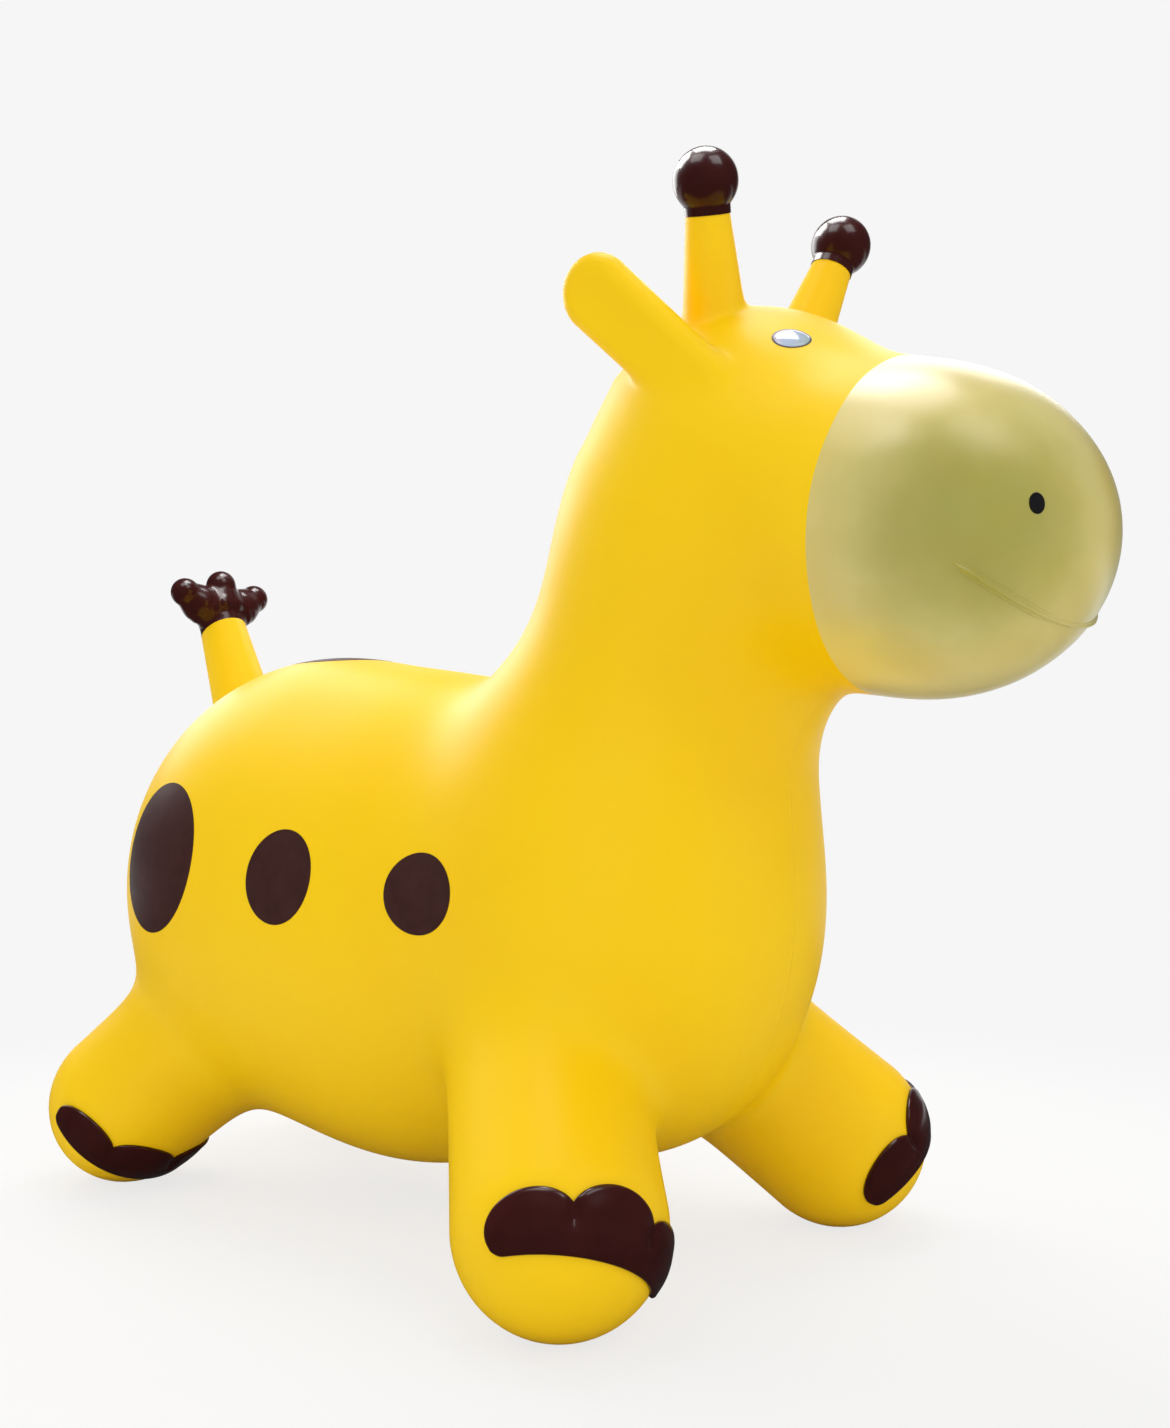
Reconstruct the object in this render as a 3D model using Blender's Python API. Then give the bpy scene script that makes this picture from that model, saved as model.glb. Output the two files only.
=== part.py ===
"""Bouncy ride-on giraffe: a moulded, air-filled PVC skin with painted parts, grips and an air valve.

Metres, +Z up. The nose points along -Y and the animal's left side is +X. One soft union of swelling
forms gives the outer surface. The skin is an open shell of one wall thickness, parted at its paint
line and limb roots, and every other piece is seated on that same surface.
"""
import math

import bmesh
import bpy
import numpy as np
from mathutils import Matrix, Vector

# Moulded skin
WALL = 0.0022
SEAM_GAP = 0.0003
SKIN_CELL = 0.014
SKIN_FACET_SHARE = 0.32
TRUNK_SOFTNESS = 0.018
LIMB_SOFTNESS = 0.008
FOOT_FLAT = 0.0018
CUTTER_REACH = 0.7
PROBE_STEP = 0.0001

# Rump, belly and chest: centre behind and above the origin, half sizes across, along and up
RUMP_BACK = 0.283
RUMP_UP = 0.1685
RUMP_HALF_WIDE = 0.119
RUMP_HALF_LONG = 0.114
RUMP_HALF_TALL = 0.127
BELLY_BACK = 0.195
BELLY_UP = 0.1525
BELLY_HALF_WIDE = 0.1105
BELLY_HALF_LONG = 0.133
BELLY_HALF_TALL = 0.130
CHEST_BACK = 0.0645
CHEST_UP = 0.1655
CHEST_HALF_WIDE = 0.095
CHEST_HALF_LONG = 0.101
CHEST_HALF_TALL = 0.119

# Neck, skull and muzzle
NECK_FOOT_BACK = 0.042
NECK_FOOT_UP = 0.256
NECK_FOOT_RADIUS = 0.0675
NECK_TALL = 0.089
NECK_LEAN = 0.043
NECK_TOP_BACK = NECK_FOOT_BACK - NECK_LEAN
NECK_TOP_UP = NECK_FOOT_UP + NECK_TALL
NECK_TOP_RADIUS = 0.0655
SKULL_AHEAD = 0.016
SKULL_ABOVE_NECK = 0.026
SKULL_BACK = NECK_TOP_BACK - SKULL_AHEAD
SKULL_UP = NECK_TOP_UP + SKULL_ABOVE_NECK
SKULL_RADIUS = 0.070
MUZZLE_AHEAD = 0.092
MUZZLE_BELOW_SKULL = 0.0395
MUZZLE_BACK = SKULL_BACK - MUZZLE_AHEAD
MUZZLE_UP = SKULL_UP - MUZZLE_BELOW_SKULL
MUZZLE_HALF_WIDE = 0.074
MUZZLE_HALF_LONG = 0.075
MUZZLE_HALF_TALL = 0.069
MUZZLE_DROP = 9.5
MUZZLE_PAINT_BACK = 0.0145

# Legs: hip and foot centres out from the middle, behind and above the origin, with their radii
FRONT_HIP_OUT = 0.051
FRONT_HIP_BACK = 0.0715
FRONT_HIP_UP = 0.113
FRONT_HIP_RADIUS = 0.043
FRONT_FOOT_OUT = 0.106
FRONT_FOOT_BACK = 0.008
FRONT_FOOT_RADIUS = 0.0456
REAR_HIP_OUT = 0.0425
REAR_HIP_BACK = 0.290
REAR_HIP_UP = 0.113
REAR_HIP_RADIUS = 0.0465
REAR_FOOT_OUT = 0.0895
REAR_FOOT_BACK = 0.357
REAR_FOOT_RADIUS = 0.0444
LEG_SEAM_ABOVE_FOOT = 0.030
LEG_CUTTER_MARGIN = 0.006

# Parting planes of the neck: how far below and behind the foot and top of its form each passes, and
# the angle by which both rise to the rear
NECK_SEAM_DROP = 0.006
NECK_SEAM_SETBACK = 0.003
HEAD_SEAM_DROP = 0.033
HEAD_SEAM_SETBACK = 0.004
NECK_SEAM_RISE = 35.0

# Hooves: three raised pads side by side
PAD_STEP = 53.0
PAD_RADIUS = 0.0205
PAD_CORNER_RADIUS = 0.0065
PAD_TALL = 0.0295
PAD_SHOULDER = 0.0160
PAD_END_LIFT = 0.0080
PAD_EDGE = 0.0007
PAD_CROWN = 0.0026
PAD_ROUND = 0.008
PAD_SINK = 0.0010
PAD_RING_SHARE = 0.9
PAD_STEP_ARC = math.radians(PAD_STEP) * FRONT_FOOT_RADIUS * PAD_RING_SHARE
PAD_COLUMNS = 6
PAD_ROWS = 5
FRONT_SOLE_LEAN = 51.6
FRONT_SOLE_TURN = 40.8
FRONT_TOE_TURN = 27.0
FRONT_PAD_START = 38.8
REAR_SOLE_LEAN = 36.8
REAR_SOLE_TURN = 164.4
REAR_TOE_TURN = 6.0
REAR_PAD_START = 65.8

# Horns with a ball on top, the hand grips
HORN_SEAT_TURN = 85.4
HORN_SEAT_RISE = 61.7
HORN_SPLAY = 21.2
HORN_RAKE = 11.5
HORN_TALL = 0.056
HORN_FOOT_RADIUS = 0.0142
HORN_NECK_RADIUS = 0.0100
HORN_FLARE = 0.0035
HORN_FLARE_TALL = 0.009
HORN_ROOT = 0.016
KNOB_RADIUS = 0.0141
KNOB_PAINT_DROP = 0.0140
KNOB_RINGS = 7
STEM_SIDES = 14

# Ears
EAR_SEAT_TURN = 108.4
EAR_SEAT_RISE = 39.1
EAR_AXIS_TURN = 145.2
EAR_AXIS_RISE = 47.6
EAR_FACE_TURN = 48.0
EAR_LONG = 0.052
EAR_HALF_WIDE = 0.0192
EAR_HALF_THICK = 0.0082
EAR_DISH = 0.0032
EAR_TIP_DISH = 0.0008
EAR_DISH_START_SHARE = 0.33
EAR_TIP_SHARE = 0.5
EAR_SIDES = 14
EAR_OUTLINE_SHARES = ((-0.32, 0.86, 1.0), (0.0, 0.88, 1.0), (0.22, 0.93, 0.98), (0.45, 0.99, 0.95),
                      (0.64, 1.0, 0.92), (0.78, 0.92, 0.86), (0.88, 0.76, 0.78), (0.95, 0.53, 0.62))

# Tail and its tuft of lobes
TAIL_SEAT_RISE = 45.0
TAIL_LEAN = 24.0
TAIL_LONG = 0.0745
TAIL_FOOT_RADIUS = 0.0200
TAIL_TOP_RADIUS = 0.0146
TAIL_FLARE = 0.0025
TAIL_FLARE_TALL = 0.010
TAIL_ROOT = 0.018
TUFT_SOFTNESS = 0.0018
TUFT_CELL = 0.0040
TUFT_FACET_SHARE = 0.42
TUFT_CORE_TALL = 0.0090
TUFT_MIDDLE_TALL = 0.0300
TUFT_MIDDLE_AHEAD = 0.0095
TUFT_MIDDLE_RADIUS = 0.0078
TUFT_SIDE_OUT = 0.0281
TUFT_SIDE_AHEAD = 0.0055
TUFT_SIDE_TALL = 0.0240
TUFT_SIDE_RADIUS = 0.0069
TUFT_FRONT_AHEAD = 0.0110
TUFT_FRONT_TALL = 0.0130
TUFT_FRONT_RADIUS = 0.0060
TUFT_WAIST_RADIUS = 0.0104

# Painted spots: the heading of each from the middle of the form that carries it, and half sizes
PAINT_THICK = 0.0005
RUMP_SPOT_TURN = 93.5
RUMP_SPOT_RISE = 8.5
RUMP_SPOT_HALF_WIDE = 0.0375
RUMP_SPOT_HALF_TALL = 0.0420
FLANK_SPOT_TURN = 88.0
FLANK_SPOT_RISE = 13.5
FLANK_SPOT_HALF_WIDE = 0.0215
FLANK_SPOT_HALF_TALL = 0.0240
SHOULDER_SPOT_TURN = 112.0
SHOULDER_SPOT_RISE = 5.0
SHOULDER_SPOT_HALF_WIDE = 0.0215
SHOULDER_SPOT_HALF_TALL = 0.0192
BACK_SPOT_RISE = 87.0
BACK_SPOT_HALF_WIDE = 0.0310
BACK_SPOT_HALF_TALL = 0.0310
SPOT_GUIDE_REACH = 0.030
SPOT_SIDES = 24
DOT_LARGEST = 0.0100

# Face
EYE_TURN = 40.4
EYE_RISE = 34.5
EYE_HALF_WIDE = 0.0085
EYE_HALF_TALL = 0.0075
EYE_CROWN = 0.0018
EYE_SINK = 0.0016
EYE_DOME_SHARES = ((0.0, -1.0), (1.0, -1.0), (1.0, 0.30), (0.86, 0.66), (0.55, 0.92), (0.0, 1.0))
DOT_SIDES = 14
NOSTRIL_TURN = 31.4
NOSTRIL_RISE = 0.0
NOSTRIL_HALF_WIDE = 0.0034
NOSTRIL_HALF_TALL = 0.0041
MOUTH_HALF_WIDE = 0.059
MOUTH_RADIUS = 0.094
MOUTH_DROP = 0.043
MOUTH_BEAD_RADIUS = 0.0017
MOUTH_END_SHARE = 0.55
MOUTH_SUNK_SHARE = 0.35
MOUTH_POINTS = 17
MOUTH_SIDES = 6

# Air valve in the belly: a moulded seat and its press-in plug, measured out from the skin
VALVE_BACK = 0.060
VALVE_BORE_RADIUS = 0.0046
VALVE_TUBE_RADIUS = 0.0078
VALVE_TUBE_LONG = 0.016
VALVE_FLANGE_RADIUS = 0.0125
VALVE_FLANGE_THICK = 0.0020
VALVE_FLANGE_SETBACK = 0.0050
VALVE_PROUD = 0.0006
VALVE_SIDES = 14
PLUG_HEAD_RADIUS = 0.0072
PLUG_HEAD_THICK = 0.0018
PLUG_CLEARANCE = 0.0003
PLUG_STEM_LONG = 0.0145
PLUG_STEM_TAPER = 0.0006
PLUG_RIB = 0.0003
PLUG_RIB_COUNT = 3

YELLOW = (0.92, 0.58, 0.010)
CREAM = (0.62, 0.56, 0.33)
BROWN = (0.055, 0.014, 0.010)
BLACK = (0.012, 0.010, 0.011)
LILAC = (0.50, 0.52, 0.72)
WHITE = (0.80, 0.80, 0.78)
SKIN_ROUGHNESS = 0.42
PAINT_ROUGHNESS = 0.55
GLOSS_ROUGHNESS = 0.14

SIDES = ((1, "left"), (-1, "right"))


def heading(turn, rise):
    """Unit direction turned from straight ahead towards the left side, and raised, in degrees."""
    turn, rise = math.radians(turn), math.radians(rise)
    level = math.cos(rise)
    return np.array((math.sin(turn) * level, -math.cos(turn) * level, math.sin(rise)))


def unit(vector):
    return vector / np.linalg.norm(vector)


def square_to(vector, axis):
    """The part of a vector that is square to an axis, as a unit vector."""
    return unit(vector - vector.dot(axis) * axis)


def mirrored(point, side):
    return np.array(point) * (side, 1, 1)


def egg_field(points, centre, half_sizes, drop=0.0):
    """Signed distance, nearly, to an ellipsoid whose front end drops by an angle."""
    local = points - centre
    cosine, sine = math.cos(math.radians(drop)), math.sin(math.radians(drop))
    along = cosine * local[:, 1] + sine * local[:, 2]
    up = cosine * local[:, 2] - sine * local[:, 1]
    local = np.column_stack((local[:, 0], along, up))
    reach = np.sqrt(((local / half_sizes) ** 2).sum(axis=1)) + 1e-9
    slope = np.sqrt(((local / np.square(half_sizes)) ** 2).sum(axis=1)) + 1e-9
    return reach * (reach - 1.0) / slope


def limb_field(points, start, end, start_radius, end_radius):
    """Signed distance to a tapered limb with round ends."""
    start, end = np.array(start), np.array(end)
    axis = end - start
    length = math.sqrt(axis.dot(axis))
    axis = axis / length
    taper = (start_radius - end_radius) / length
    local = points - start
    along = local @ axis
    across = np.sqrt(np.maximum((local ** 2).sum(axis=1) - along ** 2, 0.0))
    lean = math.sqrt(1.0 - taper ** 2)
    shifted = np.clip(along + across * taper / lean, 0.0, length)
    radius = start_radius - taper * shifted
    return np.sqrt((along - shifted) ** 2 + across ** 2) - radius


def blend(fields, softness):
    """Soft union of several fields."""
    fields = np.array(fields)
    nearest = fields.min(axis=0)
    return nearest - softness * np.log(np.exp((nearest - fields) / softness).sum(axis=0))


RUMP = np.array((0.0, RUMP_BACK, RUMP_UP))
BELLY = np.array((0.0, BELLY_BACK, BELLY_UP))
CHEST = np.array((0.0, CHEST_BACK, CHEST_UP))
SKULL = np.array((0.0, SKULL_BACK, SKULL_UP))
MUZZLE = np.array((0.0, MUZZLE_BACK, MUZZLE_UP))

# Ellipsoids: centre, half sizes, drop
EGGS = (
    (RUMP, (RUMP_HALF_WIDE, RUMP_HALF_LONG, RUMP_HALF_TALL), 0.0),
    (BELLY, (BELLY_HALF_WIDE, BELLY_HALF_LONG, BELLY_HALF_TALL), 0.0),
    (CHEST, (CHEST_HALF_WIDE, CHEST_HALF_LONG, CHEST_HALF_TALL), 0.0),
    (MUZZLE, (MUZZLE_HALF_WIDE, MUZZLE_HALF_LONG, MUZZLE_HALF_TALL), MUZZLE_DROP),
)

NECK_FOOT = (0.0, NECK_FOOT_BACK, NECK_FOOT_UP)
NECK_TOP = (0.0, NECK_TOP_BACK, NECK_TOP_UP)
NECK = (
    (NECK_FOOT, NECK_TOP, NECK_FOOT_RADIUS, NECK_TOP_RADIUS),
    (NECK_TOP, SKULL, NECK_TOP_RADIUS, SKULL_RADIUS),
)

# Legs on the left side: hip, foot, radii
LEGS = {
    "front": ((FRONT_HIP_OUT, FRONT_HIP_BACK, FRONT_HIP_UP),
              (FRONT_FOOT_OUT, FRONT_FOOT_BACK, FRONT_FOOT_RADIUS - FOOT_FLAT),
              FRONT_HIP_RADIUS, FRONT_FOOT_RADIUS),
    "rear": ((REAR_HIP_OUT, REAR_HIP_BACK, REAR_HIP_UP),
             (REAR_FOOT_OUT, REAR_FOOT_BACK, REAR_FOOT_RADIUS - FOOT_FLAT),
             REAR_HIP_RADIUS, REAR_FOOT_RADIUS),
}


def skin_field(points):
    """Signed distance, nearly, to the outer surface of the whole skin."""
    trunk = [egg_field(points, *egg) for egg in EGGS]
    trunk += [limb_field(points, *piece) for piece in NECK]
    parts = [blend(trunk, TRUNK_SOFTNESS)]
    for hip, foot, hip_radius, foot_radius in LEGS.values():
        for side, _ in SIDES:
            parts.append(limb_field(points, mirrored(hip, side), mirrored(foot, side),
                                    hip_radius, foot_radius))
    return blend(parts, LIMB_SOFTNESS)


def slope_of(field, points):
    """Gradient of a field, by differences over a short step each way."""
    steps = np.eye(3) * PROBE_STEP
    return np.column_stack([(field(points + step) - field(points - step)) / (2.0 * PROBE_STEP)
                            for step in steps])


def settle(points, field, level=0.0, rounds=6):
    """Moves points onto the surface where the field has the given level."""
    points = np.array(points, dtype=float)
    for _ in range(rounds):
        slope = slope_of(field, points)
        miss = field(points) - level
        points -= slope * (miss / (slope ** 2).sum(axis=1))[:, None]
    return points


def seat_on_skin(origin, direction):
    """Point where a ray from inside the body leaves the skin, and the outward direction there."""
    distances = np.linspace(0.0, CUTTER_REACH, 1401)
    ray = origin + distances[:, None] * direction
    outside = np.argmax(skin_field(ray) > 0.0)
    point = settle(ray[outside:outside + 1], skin_field)
    return point[0], unit(slope_of(skin_field, point)[0])


def material(name, colour, roughness, metallic=0.0):
    """Principled material in one plain finish."""
    finish = bpy.data.materials.new(name)
    finish.use_nodes = True
    shader = finish.node_tree.nodes["Principled BSDF"]
    shader.inputs["Base Color"].default_value = (*colour, 1.0)
    shader.inputs["Roughness"].default_value = roughness
    shader.inputs["Metallic"].default_value = metallic
    finish.diffuse_color = (*colour, 1.0)
    return finish


def add_object(name, mesh, place=None):
    """Puts a mesh into the scene under a name, at a place."""
    piece = bpy.data.objects.new(name, mesh)
    bpy.context.collection.objects.link(piece)
    if place is not None:
        piece.matrix_world = place
    return piece


def add_piece(name, mesh, colour, roughness, place=None):
    """A visible piece with a material of its own."""
    mesh.materials.clear()
    mesh.materials.append(material(name + "_finish", colour, roughness))
    mesh.shade_smooth()
    mesh.set_sharp_from_angle(angle=math.radians(40.0))
    return add_object(name, mesh, place)


def add_cutter(name, mesh, place=None):
    """A guide shape that only cuts other pieces."""
    cutter = add_object(name, mesh, place)
    cutter.hide_render = True
    cutter.display_type = "WIRE"
    return cutter


def cut(piece, cutter, operation="DIFFERENCE"):
    """Cuts a piece with a closed guide shape."""
    step = piece.modifiers.new(cutter.name, "BOOLEAN")
    step.operation = operation
    step.solver = "EXACT"
    step.object = cutter


def mesh_from(name, build):
    """New mesh filled by a function that works on a bmesh."""
    shape = bmesh.new()
    build(shape)
    mesh = bpy.data.meshes.new(name)
    shape.to_mesh(mesh)
    shape.free()
    return mesh


def stacked_rings(name, rings, closed=False):
    """Closed skin over a stack of rings of points. A ring of one point is a pole."""
    def build(shape):
        rows = [[shape.verts.new(point) for point in ring] for ring in rings]
        pairs = list(zip(rows, rows[1:]))
        if closed:
            pairs.append((rows[-1], rows[0]))
        for low, high in pairs:
            count = max(len(low), len(high))
            for index in range(count):
                following = (index + 1) % count
                corners = [low[index % len(low)], low[following % len(low)],
                           high[following % len(high)], high[index % len(high)]]
                shape.faces.new(list(dict.fromkeys(corners)))
        if not closed:
            for row in (rows[0], rows[-1]):
                if len(row) > 1:
                    shape.faces.new(row)
        bmesh.ops.triangulate(shape, faces=[face for face in shape.faces if len(face.verts) > 4])
        bmesh.ops.recalc_face_normals(shape, faces=shape.faces)
    return mesh_from(name, build)


def turned_ring(radius, height, sides):
    """One ring of a turned shape, round the Z axis. Zero radius gives its pole."""
    if radius <= 0.0:
        return [(0.0, 0.0, height)]
    turns = [2.0 * math.pi * index / sides for index in range(sides)]
    return [(radius * math.cos(turn), radius * math.sin(turn), height) for turn in turns]


def turned(name, profile, sides, closed=False):
    """Turned shape from a profile of radius and height pairs."""
    return stacked_rings(name, [turned_ring(*corner, sides) for corner in profile], closed)


def frame_along(point, axis):
    """Placing matrix with its Z axis along a direction."""
    turn = Vector((0.0, 0.0, 1.0)).rotation_difference(Vector(axis)).to_matrix().to_4x4()
    return Matrix.Translation(point) @ turn


def half_space(name, point, direction, width=CUTTER_REACH):
    """Guide box that fills the space beyond a plane, up to the cutter's reach."""
    def build(shape):
        lift = Matrix.Translation((0.0, 0.0, CUTTER_REACH / 2.0))
        size = Matrix.Diagonal((width, width, CUTTER_REACH, 1.0))
        bmesh.ops.create_cube(shape, size=1.0, matrix=lift @ size)
    return add_cutter(name, mesh_from(name, build), frame_along(point, direction))


def rough_union(name, eggs, limbs, cell, facet_share):
    """One closed mesh over ellipsoids and limbs, remeshed in cells and thinned where it is flat."""
    def build(shape):
        for centre, half_sizes, drop in eggs:
            place = Matrix.Translation(centre) @ Matrix.Rotation(math.radians(drop), 4, "X")
            place = place @ Matrix.Diagonal((*half_sizes, 1.0))
            bmesh.ops.create_uvsphere(shape, u_segments=32, v_segments=20, radius=1.0, matrix=place)
        for start, end, start_radius, end_radius in limbs:
            axis = Vector(end) - Vector(start)
            place = frame_along((Vector(start) + Vector(end)) / 2.0, axis)
            bmesh.ops.create_cone(shape, cap_ends=True, segments=32, radius1=start_radius,
                                  radius2=end_radius, depth=axis.length, matrix=place)
            for centre, radius in ((start, start_radius), (end, end_radius)):
                bmesh.ops.create_uvsphere(shape, u_segments=32, v_segments=20, radius=radius,
                                          matrix=Matrix.Translation(centre))
    rough = add_object(name, mesh_from(name, build))
    remesh = rough.modifiers.new("cells", "REMESH")
    remesh.mode = "VOXEL"
    remesh.voxel_size = cell
    thin = rough.modifiers.new("thin", "DECIMATE")
    thin.ratio = facet_share
    graph = bpy.context.evaluated_depsgraph_get()
    mesh = bpy.data.meshes.new_from_object(rough.evaluated_get(graph), depsgraph=graph)
    bpy.data.objects.remove(rough)
    return mesh


def settle_mesh(mesh, field, level=0.0):
    """Moves every corner of a mesh onto a level of a field."""
    points = np.empty(len(mesh.vertices) * 3)
    mesh.vertices.foreach_get("co", points)
    points = settle(points.reshape(-1, 3), field, level)
    mesh.vertices.foreach_set("co", points.ravel())
    mesh.update()
    return points


def left_half(mesh, cell):
    """Keeps the left half of a mesh, with its edge exactly on the middle plane."""
    shape = bmesh.new()
    shape.from_mesh(mesh)
    for vertex in shape.verts:
        if abs(vertex.co.x) < cell / 3.0:
            vertex.co.x = 0.0
    everything = shape.verts[:] + shape.edges[:] + shape.faces[:]
    bmesh.ops.bisect_plane(shape, geom=everything, plane_co=(0.0, 0.0, 0.0), plane_no=(1.0, 0.0, 0.0),
                           dist=PROBE_STEP, clear_inner=True)
    bmesh.ops.triangulate(shape, faces=shape.faces)
    bmesh.ops.dissolve_degenerate(shape, edges=shape.edges, dist=PROBE_STEP)
    shape.to_mesh(mesh)
    shape.free()


def mirror_across(piece):
    """Mirrors a half mesh across the middle plane and joins its halves."""
    step = piece.modifiers.new("other_side", "MIRROR")
    step.merge_threshold = PROBE_STEP


def both_sides(mesh):
    """Whole mesh from its left half, with the mirror applied."""
    guide = add_object("mirror_guide", mesh)
    mirror_across(guide)
    graph = bpy.context.evaluated_depsgraph_get()
    whole = bpy.data.meshes.new_from_object(guide.evaluated_get(graph), depsgraph=graph)
    bpy.data.objects.remove(guide)
    return whole


def make_skin_half():
    """Left half of the outer skin, settled on the soft union."""
    limbs = list(NECK)
    for hip, foot, hip_radius, foot_radius in LEGS.values():
        limbs += [(mirrored(hip, side), mirrored(foot, side), hip_radius, foot_radius)
                  for side, _ in SIDES]
    mesh = rough_union("skin", EGGS, limbs, SKIN_CELL, SKIN_FACET_SHARE)
    settle_mesh(mesh, skin_field)
    left_half(mesh, SKIN_CELL)
    settle_mesh(mesh, skin_field)
    return mesh


def add_skin_section(name, half, colour, cutters, keep=None):
    """One section of the moulded shell: mirrored, given its wall, and parted by guide shapes."""
    section = add_piece(name, half.copy(), colour, SKIN_ROUGHNESS)
    mirror_across(section)
    wall = section.modifiers.new("wall", "SOLIDIFY")
    wall.thickness = WALL
    wall.offset = -1.0
    if keep is not None:
        cut(section, keep, "INTERSECT")
    for cutter in cutters:
        cut(section, cutter)
    return section


def plane_cutters(name, point, direction):
    """Guide boxes before and beyond a parting plane, half the seam's gap away from it."""
    direction = unit(direction)
    step = direction * SEAM_GAP / 2.0
    beyond = half_space(name + "_beyond", point - step, direction, 2.0 * CUTTER_REACH)
    before = half_space(name + "_before", point + step, -direction, 2.0 * CUTTER_REACH)
    return beyond, before


def make_skin(half):
    """Torso, neck, head, muzzle and legs, all parted from the one moulded shell."""
    muzzle_axis = heading(0.0, -MUZZLE_DROP)
    ahead_of_paint, behind_paint = plane_cutters("paint", MUZZLE - muzzle_axis * MUZZLE_PAINT_BACK,
                                                 muzzle_axis)
    neck_root = NECK_FOOT + np.array((0.0, NECK_SEAM_SETBACK, -NECK_SEAM_DROP))
    head_root = NECK_TOP + np.array((0.0, HEAD_SEAM_SETBACK, -HEAD_SEAM_DROP))
    up_the_neck = heading(0.0, 90.0 - NECK_SEAM_RISE)
    above_neck, below_neck = plane_cutters("neck_root", neck_root, up_the_neck)
    above_head, below_head = plane_cutters("head_root", head_root, up_the_neck)
    floor = half_space("floor", (0.0, RUMP_BACK, 0.0), (0.0, 0.0, -1.0), 2.0 * CUTTER_REACH)
    leg_boxes = []
    for end, (hip, foot, _, foot_radius) in LEGS.items():
        for side, word in SIDES:
            foot_place, hip_place = mirrored(foot, side), mirrored(hip, side)
            axis = unit(foot_place - hip_place)
            seam = foot_place - axis * LEG_SEAM_ABOVE_FOOT
            width = 2.0 * (foot_radius + LEG_CUTTER_MARGIN)
            name = f"leg_{end}_{word}"
            outer = half_space(name + "_box", seam + axis * SEAM_GAP / 2.0, axis, width)
            leg_boxes.append(half_space(name + "_seam", seam - axis * SEAM_GAP / 2.0, axis, width))
            add_skin_section(name, half, YELLOW, (floor,), keep=outer)
    add_skin_section("muzzle", half, CREAM, (behind_paint,))
    head = add_skin_section("head", half, YELLOW, (below_head, ahead_of_paint))
    add_skin_section("neck", half, YELLOW, (below_neck, above_head))
    torso = add_skin_section("torso", half, YELLOW, (above_neck, *leg_boxes))
    return head, torso


def oval(seat, across, along, half_across, half_along, sides):
    """Ring of points on an oval round a seat."""
    turns = [2.0 * math.pi * index / sides for index in range(sides)]
    return [seat + half_across * math.cos(turn) * across + half_along * math.sin(turn) * along
            for turn in turns]


def add_film(name, film_half, seat, up_hint, half_across, half_along, colour):
    """Oval of paint: a thin layer that lies all over the skin, kept only inside an oval guide."""
    point, outward = seat
    along = square_to(np.array(up_hint), outward)
    across = np.cross(along, outward)
    sides = SPOT_SIDES if half_across > DOT_LARGEST else DOT_SIDES
    rings = [oval(outward * reach, across, along, half_across, half_along, sides)
             for reach in (-SPOT_GUIDE_REACH, SPOT_GUIDE_REACH)]
    film = add_piece(name, film_half.copy(), colour, PAINT_ROUGHNESS)
    mirror_across(film)
    layer = film.modifiers.new("layer", "SOLIDIFY")
    layer.thickness = PAINT_THICK
    layer.offset = 1.0
    guide = add_cutter(name + "_guide", stacked_rings(name + "_guide", rings), Matrix.Translation(point))
    cut(film, guide, "INTERSECT")


def add_eye(name, core, seat, up_hint):
    """Low glossy dome, seated on the skin by the core."""
    point, outward = seat
    along = square_to(np.array(up_hint), outward)
    across = np.cross(along, outward)
    rings = []
    for share, level in EYE_DOME_SHARES:
        sides = DOT_SIDES if share else 1
        flat = oval(point, across, along, share * EYE_HALF_WIDE, share * EYE_HALF_TALL, sides)
        height = SEAM_GAP + level * EYE_CROWN if level >= 0.0 else -EYE_SINK
        rings.append(settle(flat, skin_field, height) - point)
    mesh = stacked_rings(name, rings)
    cut(add_piece(name, mesh, LILAC, GLOSS_ROUGHNESS, Matrix.Translation(point)), core)


def make_paint(film_half, core):
    """Spots on both flanks and the back, eyes and nostrils."""
    up, ahead = (0.0, 0.0, 1.0), (0.0, -1.0, 0.0)
    for side, word in SIDES:
        spots = (
            ("rump", RUMP, RUMP_SPOT_TURN, RUMP_SPOT_RISE, RUMP_SPOT_HALF_WIDE, RUMP_SPOT_HALF_TALL),
            ("flank", BELLY, FLANK_SPOT_TURN, FLANK_SPOT_RISE, FLANK_SPOT_HALF_WIDE,
             FLANK_SPOT_HALF_TALL),
            ("shoulder", CHEST, SHOULDER_SPOT_TURN, SHOULDER_SPOT_RISE, SHOULDER_SPOT_HALF_WIDE,
             SHOULDER_SPOT_HALF_TALL),
        )
        for place, middle, turn, rise, half_wide, half_tall in spots:
            seat = seat_on_skin(middle, heading(side * turn, rise))
            add_film(f"spot_{place}_{word}", film_half, seat, up, half_wide, half_tall, BROWN)
        nostril = seat_on_skin(MUZZLE, heading(side * NOSTRIL_TURN, NOSTRIL_RISE))
        add_film(f"nostril_{word}", film_half, nostril, up, NOSTRIL_HALF_WIDE, NOSTRIL_HALF_TALL, BLACK)
        add_eye(f"eye_{word}", core, seat_on_skin(SKULL, heading(side * EYE_TURN, EYE_RISE)), up)
    back = seat_on_skin(RUMP, heading(0.0, BACK_SPOT_RISE))
    add_film("spot_back", film_half, back, ahead, BACK_SPOT_HALF_WIDE, BACK_SPOT_HALF_TALL, BROWN)


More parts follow.
